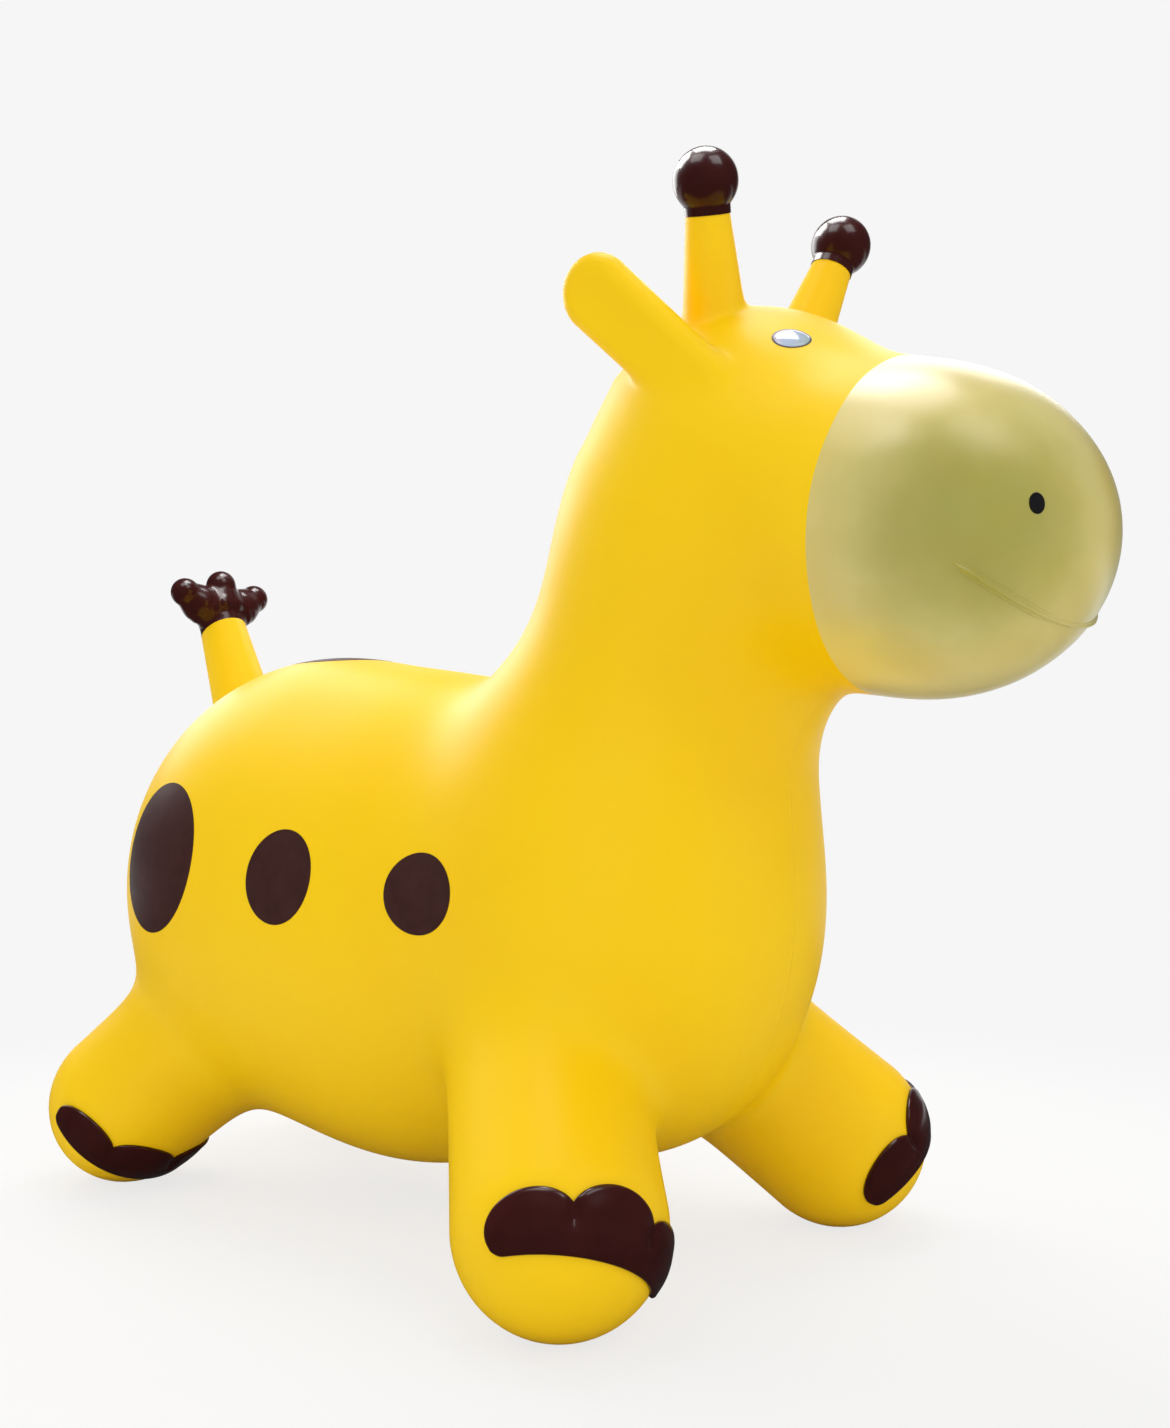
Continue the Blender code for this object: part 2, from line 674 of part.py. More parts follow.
def add_mouth(muzzle):
    """Raised smile line across the front of the muzzle, one with its wall."""
    centre_up = MUZZLE_UP - MOUTH_DROP + MOUTH_RADIUS
    turns = np.linspace(-1.0, 1.0, MOUTH_POINTS) * math.asin(MOUTH_HALF_WIDE / MOUTH_RADIUS)
    path = []
    for turn in turns:
        height = centre_up - MOUTH_RADIUS * math.cos(turn)
        start = np.array((MOUTH_RADIUS * math.sin(turn), MUZZLE_BACK, height))
        path.append(seat_on_skin(start, np.array((0.0, -1.0, 0.0)))[0])
    path = np.array(path)
    tangents = np.gradient(path, axis=0)
    outward = slope_of(skin_field, path)
    rings = []
    for index, share in enumerate(np.linspace(-1.0, 1.0, MOUTH_POINTS)):
        fullness = MOUTH_END_SHARE + (1.0 - MOUTH_END_SHARE) * math.sqrt(1.0 - share ** 2)
        radius = MOUTH_BEAD_RADIUS * fullness
        along = unit(tangents[index])
        out = square_to(outward[index], along)
        side = np.cross(along, out)
        turns = [2.0 * math.pi * step / MOUTH_SIDES for step in range(MOUTH_SIDES)]
        middle = path[index] - out * radius * MOUTH_SUNK_SHARE
        rings.append([middle + radius * (math.cos(turn) * out + math.sin(turn) * side) for turn in turns])
    bead = add_cutter("mouth_bead", stacked_rings("mouth_bead", rings))
    cut(muzzle, bead, "UNION")


def pad_outline(reach):
    """Lowest and highest arc of the hoof at a distance along it from its middle. Its ends lift."""
    centre = min((-PAD_STEP_ARC, 0.0, PAD_STEP_ARC), key=lambda place: abs(reach - place))
    away = min(abs(reach - centre), PAD_RADIUS)
    highest = PAD_SHOULDER + (PAD_TALL - PAD_SHOULDER) * math.sqrt(1.0 - (away / PAD_RADIUS) ** 2)
    past_end = max(0.0, abs(reach) - (PAD_STEP_ARC + PAD_RADIUS - PAD_CORNER_RADIUS))
    lowest = PAD_CORNER_RADIUS - math.sqrt(max(0.0, PAD_CORNER_RADIUS ** 2 - past_end ** 2))
    return lowest + PAD_END_LIFT * (reach / (PAD_STEP_ARC + PAD_RADIUS)) ** 2, highest


def pad_height(reach, arc):
    """Height of the pads' crowned face: each pad is a dome that rounds off towards its edge."""
    best = 0.0
    lowest, _ = pad_outline(reach)
    for centre in (-PAD_STEP_ARC, 0.0, PAD_STEP_ARC):
        away = abs(reach - centre) / PAD_RADIUS
        rise = max(0.0, arc - PAD_SHOULDER) / (PAD_TALL - PAD_SHOULDER)
        inside = min(PAD_TALL - PAD_SHOULDER, arc - lowest, PAD_RADIUS * (1.0 - math.hypot(away, rise)))
        share = min(1.0, max(0.0, inside / PAD_ROUND))
        best = max(best, math.sqrt(1.0 - (1.0 - share) ** 2))
    return PAD_EDGE + PAD_CROWN * best


def hoof_stations():
    """Places along the hoof, closer together near the clefts and ends of the pads."""
    half_turns = np.linspace(-math.pi / 2.0, math.pi / 2.0, PAD_COLUMNS + 1)
    stations = []
    for centre in (-PAD_STEP_ARC, 0.0, PAD_STEP_ARC):
        low = centre - (PAD_RADIUS if centre < 0.0 else PAD_STEP_ARC / 2.0)
        high = centre + (PAD_RADIUS if centre > 0.0 else PAD_STEP_ARC / 2.0)
        places = (low + high) / 2.0 + np.sin(half_turns) * (high - low) / 2.0
        stations += list(places if centre < 0.0 else places[1:])
    return stations


def add_hoof(name, core, side, foot, foot_radius, sole_lean, sole_turn, toe_turn, pad_start):
    """Three raised pads moulded round the front of a foot."""
    sole = heading(side * sole_turn, sole_lean - 90.0)
    ahead = square_to(np.array((0.0, -1.0, 0.0)), sole)
    out = np.cross(ahead, sole)
    out = out * (1.0 if out[0] * side > 0.0 else -1.0)
    toe = math.cos(math.radians(toe_turn)) * ahead + math.sin(math.radians(toe_turn)) * out
    aside = math.cos(math.radians(toe_turn)) * out - math.sin(math.radians(toe_turn)) * ahead
    faces = {"inner": [], "outer": []}
    for reach in hoof_stations():
        lowest, highest = pad_outline(reach)
        turn = reach / (foot_radius * PAD_RING_SHARE)
        for row in range(PAD_ROWS + 1):
            arc = lowest + (highest - lowest) * (1.0 - math.cos(math.pi * row / PAD_ROWS)) / 2.0
            tilt = math.radians(pad_start) + arc / foot_radius
            level = math.cos(turn) * toe + math.sin(turn) * aside
            place = foot + foot_radius * (math.cos(tilt) * sole + math.sin(tilt) * level)
            faces["inner"].append((place, -PAD_SINK))
            faces["outer"].append((place, SEAM_GAP + pad_height(reach, arc)))
    surfaces = {}
    for key, entries in faces.items():
        places = np.array([place for place, _ in entries])
        levels = np.array([level for _, level in entries])
        surfaces[key] = settle(places, skin_field, levels) - foot
    columns = len(hoof_stations())
    mesh = double_sheet(name, surfaces["outer"], surfaces["inner"], columns, PAD_ROWS + 1)
    cut(add_piece(name, mesh, BROWN, GLOSS_ROUGHNESS, Matrix.Translation(foot)), core)


def double_sheet(name, outer, inner, columns, rows):
    """Closed plate between two grids of points that face each other."""
    def build(shape):
        grids = []
        for points in (outer, inner):
            corners = [shape.verts.new(point) for point in points]
            grids.append([corners[column * rows:(column + 1) * rows] for column in range(columns)])
            grid = grids[-1]
            for column in range(columns - 1):
                for row in range(rows - 1):
                    shape.faces.new((grid[column][row], grid[column + 1][row],
                                     grid[column + 1][row + 1], grid[column][row + 1]))
        rims = []
        for grid in grids:
            rims.append(grid[0][:-1] + [line[-1] for line in grid[:-1]]
                        + grid[-1][:0:-1] + [line[0] for line in grid[:0:-1]])
        for index in range(len(rims[0])):
            following = (index + 1) % len(rims[0])
            shape.faces.new((rims[0][index], rims[0][following], rims[1][following], rims[1][index]))
        bmesh.ops.triangulate(shape, faces=shape.faces)
        bmesh.ops.recalc_face_normals(shape, faces=shape.faces)
    return mesh_from(name, build)


def make_hooves(core):
    """A hoof on each foot."""
    settings = {"front": (FRONT_SOLE_LEAN, FRONT_SOLE_TURN, FRONT_TOE_TURN, FRONT_PAD_START),
                "rear": (REAR_SOLE_LEAN, REAR_SOLE_TURN, REAR_TOE_TURN, REAR_PAD_START)}
    for end, (_, foot, _, foot_radius) in LEGS.items():
        for side, word in SIDES:
            add_hoof(f"hoof_{end}_{word}", core, side, mirrored(foot, side), foot_radius, *settings[end])


def flared(foot_radius, top_radius, flare, flare_tall, root, top):
    """Radius and height pairs of a tapered stem that flares where it meets the body."""
    heights = [-root, 0.0, flare_tall / 2.0, flare_tall, top]
    pairs = []
    for height in heights:
        share = min(1.0, max(0.0, height / top))
        spread = max(0.0, 1.0 - max(0.0, height) / flare_tall)
        radius = foot_radius + (top_radius - foot_radius) * share + flare * spread ** 2
        pairs.append((radius, height))
    return pairs


def tube_from(pairs):
    """Closed wall profile of a stem: up its outside and down its inside."""
    return pairs + [(radius - WALL, height) for radius, height in reversed(pairs)]


def add_stem(name, pairs, place, core, carrier):
    """Hollow stem cut by the body's surface, whose bore opens through the body's wall."""
    tube = turned(name, tube_from(pairs), STEM_SIDES, closed=True)
    stem = add_piece(name, tube, YELLOW, SKIN_ROUGHNESS, place)
    cut(stem, core)
    bore = [(pairs[0][0] - WALL - SEAM_GAP, -2.0 * WALL), (pairs[1][0] - WALL - SEAM_GAP, 2.0 * WALL)]
    cutter = add_cutter(name + "_bore", turned(name + "_bore", bore, STEM_SIDES), place)
    cut(carrier, cutter)


def make_horns(core, head):
    """Two hollow horns, each with a glossy ball on its top."""
    for side, word in SIDES:
        seat, _ = seat_on_skin(SKULL, heading(side * HORN_SEAT_TURN, HORN_SEAT_RISE))
        splay, rake = math.tan(math.radians(HORN_SPLAY)), math.tan(math.radians(HORN_RAKE))
        axis = unit(np.array((side * splay, -rake, 1.0)))
        place = frame_along(seat, axis)
        paint = HORN_TALL - KNOB_PAINT_DROP
        stem = flared(HORN_FOOT_RADIUS, HORN_NECK_RADIUS, HORN_FLARE, HORN_FLARE_TALL, HORN_ROOT,
                      paint - SEAM_GAP / 2.0)
        add_stem(f"horn_{word}", stem, place, core, head)
        around = [(radius + SEAM_GAP, height) for radius, height in stem]
        add_cutter(f"horn_{word}_guide", turned(f"horn_{word}_guide", around, STEM_SIDES), place)
        neck_turn = math.asin(HORN_NECK_RADIUS / KNOB_RADIUS)
        turns = np.linspace(math.pi - neck_turn, 0.0, KNOB_RINGS)
        outer = [(HORN_NECK_RADIUS, paint + SEAM_GAP / 2.0)]
        outer += [(KNOB_RADIUS * math.sin(turn), HORN_TALL + KNOB_RADIUS * math.cos(turn))
                  for turn in turns[:-1]]
        outer.append((0.0, HORN_TALL + KNOB_RADIUS))
        hollow = KNOB_RADIUS - WALL
        inner = [(HORN_NECK_RADIUS - WALL, paint + SEAM_GAP / 2.0)]
        inner += [(hollow * math.sin(turn), HORN_TALL + hollow * math.cos(turn)) for turn in turns[:-1]]
        inner.append((0.0, HORN_TALL + hollow))
        knob = turned(f"horn_knob_{word}", inner[::-1] + outer, STEM_SIDES)
        add_piece(f"horn_knob_{word}", knob, BROWN, GLOSS_ROUGHNESS, place)


def ear_rings(seat, axis, face, side, wall):
    """Rings of the ear's paddle, thinner all round by a wall, dished on its face."""
    across = np.cross(axis, face) * side
    rings = []
    for along_share, wide_share, thick_share in EAR_OUTLINE_SHARES:
        towards_tip = max(0.0, along_share - EAR_TIP_SHARE) / (1.0 - EAR_TIP_SHARE)
        along = along_share * EAR_LONG - wall * towards_tip
        half_wide = max(EAR_HALF_WIDE * wide_share - wall, wall)
        half_thick = max(EAR_HALF_THICK * thick_share - wall, wall / 2.0)
        dish = EAR_DISH * min(1.0, max(0.0, along_share / EAR_DISH_START_SHARE)) * wide_share
        ring = []
        for turn in np.linspace(0.0, 2.0 * math.pi, EAR_SIDES, endpoint=False):
            depth = half_thick * math.sin(turn) - dish * math.sin(turn) ** 2
            ring.append(seat + axis * along + across * half_wide * math.cos(turn) + face * depth)
        rings.append(ring)
    rings.append([seat + axis * (EAR_LONG - wall) - face * EAR_TIP_DISH])
    return rings


def make_ears(core, head):
    """Two hollow paddle-shaped ears."""
    for side, word in SIDES:
        seat, _ = seat_on_skin(SKULL, heading(side * EAR_SEAT_TURN, EAR_SEAT_RISE))
        axis = heading(side * EAR_AXIS_TURN, EAR_AXIS_RISE)
        face = square_to(heading(side * EAR_FACE_TURN, 0.0), axis)
        outer = ear_rings(seat, axis, face, side, 0.0)
        inner = ear_rings(seat, axis, face, side, WALL)
        name = f"ear_{word}"
        rings = [np.array(ring) - seat for ring in inner[::-1] + outer]
        ear = add_piece(name, stacked_rings(name, rings), YELLOW, SKIN_ROUGHNESS, Matrix.Translation(seat))
        cut(ear, core)
        cut(ear, bpy.data.objects[f"horn_{word}_guide"])
        bore = [np.array(ring) - seat for ring in inner[:3]]
        cut(head, add_cutter(name + "_bore", stacked_rings(name + "_bore", bore), Matrix.Translation(seat)))


def make_tail(core, torso):
    """Hollow tail that leans back, and the tuft of lobes on its top."""
    seat, _ = seat_on_skin(RUMP, heading(180.0, TAIL_SEAT_RISE))
    axis = heading(180.0, 90.0 - TAIL_LEAN)
    stem = flared(TAIL_FOOT_RADIUS, TAIL_TOP_RADIUS, TAIL_FLARE, TAIL_FLARE_TALL, TAIL_ROOT, TAIL_LONG)
    place = frame_along(seat, axis)
    add_stem("tail", stem, place, core, torso)
    return add_tuft(seat + axis * (TAIL_LONG + SEAM_GAP), axis)


def add_tuft(foot, axis):
    """Solid tuft: a core on the tail's end, a tall middle lobe, two side lobes and a front bump."""
    ahead = square_to(np.array((0.0, -1.0, 0.0)), axis)
    aside = np.array((1.0, 0.0, 0.0))
    waist = foot + axis * TUFT_CORE_TALL
    lobes = [(foot, waist, TAIL_TOP_RADIUS, TUFT_WAIST_RADIUS),
             (waist, foot + axis * TUFT_MIDDLE_TALL + ahead * TUFT_MIDDLE_AHEAD, TUFT_WAIST_RADIUS,
              TUFT_MIDDLE_RADIUS),
             (waist, foot + axis * TUFT_FRONT_TALL + ahead * TUFT_FRONT_AHEAD, TUFT_WAIST_RADIUS,
              TUFT_FRONT_RADIUS)]
    for side, _ in SIDES:
        tip = foot + axis * TUFT_SIDE_TALL + side * aside * TUFT_SIDE_OUT + ahead * TUFT_SIDE_AHEAD
        lobes.append((waist, tip, TUFT_WAIST_RADIUS, TUFT_SIDE_RADIUS))

    def tuft_field(points):
        return blend([limb_field(points, *lobe) for lobe in lobes], TUFT_SOFTNESS)

    mesh = rough_union("tail_tuft", (), lobes, TUFT_CELL, TUFT_FACET_SHARE)
    points = settle_mesh(mesh, tuft_field)
    tuft = add_piece("tail_tuft", mesh, BROWN, GLOSS_ROUGHNESS)
    cut(tuft, half_space("tuft_foot", foot, -axis))
    return points


def make_valve(torso):
    """Valve seat with its flange let into the belly wall's inside, and its ribbed press-in plug."""
    origin = np.array((0.0, BELLY_BACK + VALVE_BACK, BELLY_UP))
    seat, _ = seat_on_skin(origin, np.array((0.0, 0.0, -1.0)))
    axis = np.array((0.0, 0.0, -1.0))
    place = frame_along(seat, axis)
    flange_top = -VALVE_FLANGE_SETBACK
    flange_low = flange_top - VALVE_FLANGE_THICK
    wall = [(VALVE_BORE_RADIUS, -VALVE_TUBE_LONG), (VALVE_TUBE_RADIUS, -VALVE_TUBE_LONG),
            (VALVE_TUBE_RADIUS, flange_low), (VALVE_FLANGE_RADIUS, flange_low),
            (VALVE_FLANGE_RADIUS, flange_top), (VALVE_TUBE_RADIUS, flange_top),
            (VALVE_TUBE_RADIUS, VALVE_PROUD), (VALVE_BORE_RADIUS, VALVE_PROUD)]
    add_piece("valve_seat", turned("valve_seat", wall, VALVE_SIDES, closed=True), YELLOW, SKIN_ROUGHNESS, place)
    hole_radius, recess_radius = VALVE_TUBE_RADIUS + SEAM_GAP, VALVE_FLANGE_RADIUS + SEAM_GAP
    recess_low, recess_top = -VALVE_TUBE_LONG, flange_top + SEAM_GAP
    hole = [(recess_radius, recess_low), (recess_radius, recess_top), (hole_radius, recess_top),
            (hole_radius, VALVE_TUBE_LONG)]
    cut(torso, add_cutter("valve_hole", turned("valve_hole", hole, VALVE_SIDES), place))
    add_piece("air_plug", turned("air_plug", plug_profile(), VALVE_SIDES), WHITE, SKIN_ROUGHNESS, place)


def plug_profile():
    """Plug from the inner end of its tapered, ribbed stem to the edge and face of its head."""
    full = VALVE_BORE_RADIUS - PLUG_CLEARANCE
    head = VALVE_PROUD + PLUG_CLEARANCE
    profile = [(0.0, -PLUG_STEM_LONG), (full - 2.0 * PLUG_STEM_TAPER, -PLUG_STEM_LONG)]
    pitch = PLUG_STEM_LONG / (PLUG_RIB_COUNT + 1)
    for rib in range(PLUG_RIB_COUNT, 0, -1):
        middle = head - rib * pitch
        stem = full - PLUG_RIB - PLUG_STEM_TAPER * rib / PLUG_RIB_COUNT
        profile += [(stem, middle - pitch / 4.0), (stem + PLUG_RIB, middle), (stem, middle + pitch / 4.0)]
    bevel = PLUG_HEAD_THICK / 3.0
    profile += [(full - PLUG_RIB, head), (PLUG_HEAD_RADIUS, head), (PLUG_HEAD_RADIUS, head + bevel),
                (PLUG_HEAD_RADIUS - bevel, head + PLUG_HEAD_THICK), (0.0, head + PLUG_HEAD_THICK)]
    return profile


def stand_on_origin(front, back):
    """Hangs every piece under one empty that puts the middle of the whole over the origin."""
    base = bpy.data.objects.new("giraffe", None)
    bpy.context.collection.objects.link(base)
    for piece in list(bpy.data.objects):
        if piece is not base:
            piece.parent = base
    base.location.y = -(front + back) / 2.0


def main():
    """Builds the whole animal."""
    for leftover in list(bpy.data.objects):
        bpy.data.objects.remove(leftover)
    half = make_skin_half()
    core_half = half.copy()
    settle_mesh(core_half, skin_field, SEAM_GAP)
    core = add_cutter("core", both_sides(core_half))
    head, torso = make_skin(half)
    add_mouth(bpy.data.objects["muzzle"])
    make_paint(core_half, core)
    make_hooves(core)
    make_horns(core, head)
    make_ears(core, head)
    tuft_points = make_tail(core, torso)
    make_valve(torso)
    front = min(vertex.co.y for vertex in half.vertices)
    stand_on_origin(front, tuft_points[:, 1].max())


main()
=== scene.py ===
"""Dressed model of a bouncy ride-on giraffe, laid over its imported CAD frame.

Metres, +Z up, the nose towards -Y and the animal's left side towards +X. The moulded skin is one
soft union of swelling forms. Forms are worked out in the body's own coordinates, whose origin lies
midway between the front feet, and each piece is shifted into the row frame when it is made.
"""

import logging
import math
from dataclasses import dataclass, replace
from enum import Enum
from functools import partialmethod
from typing import Callable, Iterable, Protocol, Sequence

import bmesh
import bpy
import numpy as np
from mathutils import Matrix, Vector

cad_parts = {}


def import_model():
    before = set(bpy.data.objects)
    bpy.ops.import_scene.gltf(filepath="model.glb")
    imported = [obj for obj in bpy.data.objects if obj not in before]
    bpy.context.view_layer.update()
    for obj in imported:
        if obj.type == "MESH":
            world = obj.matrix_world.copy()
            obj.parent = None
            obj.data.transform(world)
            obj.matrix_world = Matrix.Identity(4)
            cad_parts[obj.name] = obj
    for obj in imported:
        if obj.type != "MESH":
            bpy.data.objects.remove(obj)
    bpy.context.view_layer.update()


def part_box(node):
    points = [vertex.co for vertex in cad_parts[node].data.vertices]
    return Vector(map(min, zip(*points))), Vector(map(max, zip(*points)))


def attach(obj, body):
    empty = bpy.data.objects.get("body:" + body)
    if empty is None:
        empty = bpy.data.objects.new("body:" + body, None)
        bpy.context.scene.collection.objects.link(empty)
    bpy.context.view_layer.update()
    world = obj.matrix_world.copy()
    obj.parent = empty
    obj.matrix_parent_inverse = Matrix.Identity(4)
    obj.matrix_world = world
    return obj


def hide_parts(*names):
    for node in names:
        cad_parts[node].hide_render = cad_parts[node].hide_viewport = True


LOG = logging.getLogger("ride_on_giraffe")

Triple = tuple[float, float, float]
Colour = tuple[float, float, float]
Shape = tuple[np.ndarray, list[Sequence[int]]]
SIDES = ((1, "left"), (-1, "right"))
AHEAD = np.array((0.0, -1.0, 0.0))
UP = np.array((0.0, 0.0, 1.0))
DOWN = np.array((0.0, 0.0, -1.0))
PLUG_BACK = 0.255
TINY = 1e-9


def heading(turn: float, rise: float) -> np.ndarray:
    """Unit direction turned from straight ahead towards the left side, and raised.

    Args:
        turn: Turn in degrees.
        rise: Rise above the horizon in degrees.

    Returns:
        The direction.
    """
    turn, rise = math.radians(turn), math.radians(rise)
    return np.array((math.sin(turn) * math.cos(rise), -math.cos(turn) * math.cos(rise), math.sin(rise)))


def unit(vector: np.ndarray) -> np.ndarray:
    """A vector at length one."""
    return vector / np.linalg.norm(vector)


def square_to(vector: np.ndarray, axis: np.ndarray) -> np.ndarray:
    """The part of a vector that is square to a unit axis, at length one."""
    return unit(vector - vector.dot(axis) * axis)


def swung(start: np.ndarray, towards: np.ndarray, turn: float) -> np.ndarray:
    """A unit direction turned, in radians, towards another one that is square to it."""
    return math.cos(turn) * start + math.sin(turn) * towards


def ring(across: np.ndarray, aside: np.ndarray, sides: int) -> np.ndarray:
    """Points of an ellipse about the origin, from its two half axes."""
    turns = np.linspace(0.0, 2.0 * math.pi, sides, endpoint=False)[:, None]
    return np.cos(turns) * across + np.sin(turns) * aside


def mirrored(point: Sequence[float], side: int) -> np.ndarray:
    """A point on the left side, moved to a side."""
    return np.array(point) * (side, 1, 1)


def ease(values: np.ndarray | float, low: float, high: float) -> np.ndarray:
    """Smooth step from 0 at a low value to 1 at a high one."""
    share = np.clip((np.asarray(values) - low) / (high - low), 0.0, 1.0)
    return share * share * (3.0 - 2.0 * share)


def placed(name: str, data: bpy.types.ID) -> bpy.types.Object:
    """New object in the scene."""
    made = bpy.data.objects.new(name, data)
    bpy.context.collection.objects.link(made)
    return made


def evaluated(holder: bpy.types.Object) -> bpy.types.Mesh:
    """Mesh of an object with its modifiers applied. The object itself is removed."""
    graph = bpy.context.evaluated_depsgraph_get()
    mesh = bpy.data.meshes.new_from_object(holder.evaluated_get(graph), depsgraph=graph)
    bpy.data.objects.remove(holder)
    return mesh


class Form(Protocol):
    """A solid with a distance field and a rough mesh."""

    def value(self, points: np.ndarray) -> np.ndarray:
        """Signed distance, nearly, at each point."""

    def rough(self, shape: bmesh.types.BMesh) -> None:
        """Adds closed rough shapes of about this size."""


def add_ball(shape: bmesh.types.BMesh, place: Matrix) -> None:
    """Adds a ball of radius one under a placing matrix."""
    bmesh.ops.create_uvsphere(shape, u_segments=32, v_segments=20, radius=1.0, matrix=place)


@dataclass(frozen=True)
class Egg:
    """Ellipsoid whose front end drops by an angle in degrees."""

    centre: Triple
    half: Triple
    drop: float = 0.0

    def value(self, points: np.ndarray) -> np.ndarray:
        """Signed distance, nearly, at each point."""
        local = points - np.array(self.centre)
        cosine, sine = math.cos(math.radians(self.drop)), math.sin(math.radians(self.drop))
        along = cosine * local[:, 1] + sine * local[:, 2]
        up = cosine * local[:, 2] - sine * local[:, 1]
        local = np.column_stack((local[:, 0], along, up))
        reach = np.sqrt(((local / self.half) ** 2).sum(axis=1)) + TINY
        slope = np.sqrt(((local / np.square(self.half)) ** 2).sum(axis=1)) + TINY
        return reach * (reach - 1.0) / slope

    def rough(self, shape: bmesh.types.BMesh) -> None:
        """Adds the ellipsoid."""
        turn = Matrix.Rotation(math.radians(self.drop), 4, "X")
        add_ball(shape, Matrix.Translation(self.centre) @ turn @ Matrix.Diagonal((*self.half, 1.0)))


@dataclass(frozen=True)
class Limb:
    """Tapered limb with round ends."""

    start: Sequence[float]
    end: Sequence[float]
    start_radius: float
    end_radius: float

    def value(self, points: np.ndarray) -> np.ndarray:
        """Signed distance at each point."""
        start, axis = np.array(self.start), np.array(self.end) - np.array(self.start)
        length = float(np.linalg.norm(axis))
        taper = (self.start_radius - self.end_radius) / length
        local = points - start
        along = local @ (axis / length)
        across = np.sqrt(np.maximum((local ** 2).sum(axis=1) - along ** 2, 0.0))
        shifted = np.clip(along + across * taper / math.sqrt(1.0 - taper ** 2), 0.0, length)
        return np.sqrt((along - shifted) ** 2 + across ** 2) - self.start_radius + taper * shifted

    def rough(self, shape: bmesh.types.BMesh) -> None:
        """Adds the limb's cone and its two end balls."""
        start, end = Vector(self.start), Vector(self.end)
        turn = Vector((0.0, 0.0, 1.0)).rotation_difference(end - start).to_matrix().to_4x4()
        bmesh.ops.create_cone(shape, cap_ends=True, segments=32, radius1=self.start_radius,
                              radius2=self.end_radius, depth=(end - start).length,
                              matrix=Matrix.Translation((start + end) / 2.0) @ turn)
        for centre, radius in ((start, self.start_radius), (end, self.end_radius)):
            add_ball(shape, Matrix.Translation(centre) @ Matrix.Scale(radius, 4))


@dataclass(frozen=True)
class Paddle:
    """Ear: a thick rounded plate, a little wider towards its tip, with a soft dish in its face."""

    root: np.ndarray
    axis: np.ndarray
    face: np.ndarray
    long: float
    root_wide: float
    tip_wide: float
    thick: float
    dish: float
    sunk: float = 1.2
    rim: float = 0.1
    slope: float = 2.4
    dish_start: float = 0.6

    def value(self, points: np.ndarray) -> np.ndarray:
        """Signed distance, nearly, at each point."""
        local = points - self.root
        along, deep = local @ self.axis, local @ self.face
        wide = np.abs(local @ np.cross(self.axis, self.face))
        low, high = -self.sunk * self.thick, self.long - self.tip_wide
        share = np.clip((along - low) / (high - low), 0.0, 1.0)
        radius = self.root_wide + (self.tip_wide - self.root_wide) * share
        plan = np.hypot(wide, along - (low + share * (high - low))) - radius
        hollow = ease(-plan, self.rim * self.thick, self.slope * self.thick)
        hollow = hollow * ease(along, 0.0, self.dish_start * self.long)
        deep = np.where(deep > 0.0, deep + self.dish * hollow, deep)
        return np.hypot(np.maximum(plan + self.thick, 0.0), deep) - self.thick

    def rough(self, shape: bmesh.types.BMesh) -> None:
        """Adds a flat ball of about the paddle's size."""
        across = np.cross(self.axis, self.face)
        middle = self.root + self.axis * (self.long / 2.0 - self.thick)
        columns = (across * self.tip_wide, self.axis * (self.long / 2.0 + self.thick), self.face * self.thick)
        place = Matrix.Identity(4)
        for column, vector in enumerate(columns):
            for row in range(3):
                place[row][column] = vector[row]
        add_ball(shape, Matrix.Translation(Vector(middle)) @ place)


@dataclass(frozen=True)
class SoftUnion:
    """Several forms that flow into each other."""

    members: tuple[Form, ...]
    softness: float

    def value(self, points: np.ndarray) -> np.ndarray:
        """Signed distance, nearly, at each point."""
        fields = np.array([member.value(points) for member in self.members])
        nearest = fields.min(axis=0)
        return nearest - self.softness * np.log(np.exp((nearest - fields) / self.softness).sum(axis=0))

    def rough(self, shape: bmesh.types.BMesh) -> None:
        """Adds every member."""
        for member in self.members:
            member.rough(shape)


@dataclass(frozen=True)
class Dimpled:
    """A form with soft dimples pressed in, each given by its middle, width and depth."""

    form: Form
    dimples: tuple[tuple[np.ndarray, float, float], ...]

    def value(self, points: np.ndarray) -> np.ndarray:
        """Signed distance, nearly, at each point."""
        field = self.form.value(points)
        for centre, wide, deep in self.dimples:
            field = field + deep * np.exp(-((points - centre) ** 2).sum(axis=1) / wide ** 2)
        return field

    def rough(self, shape: bmesh.types.BMesh) -> None:
        """Adds the form underneath."""
        self.form.rough(shape)


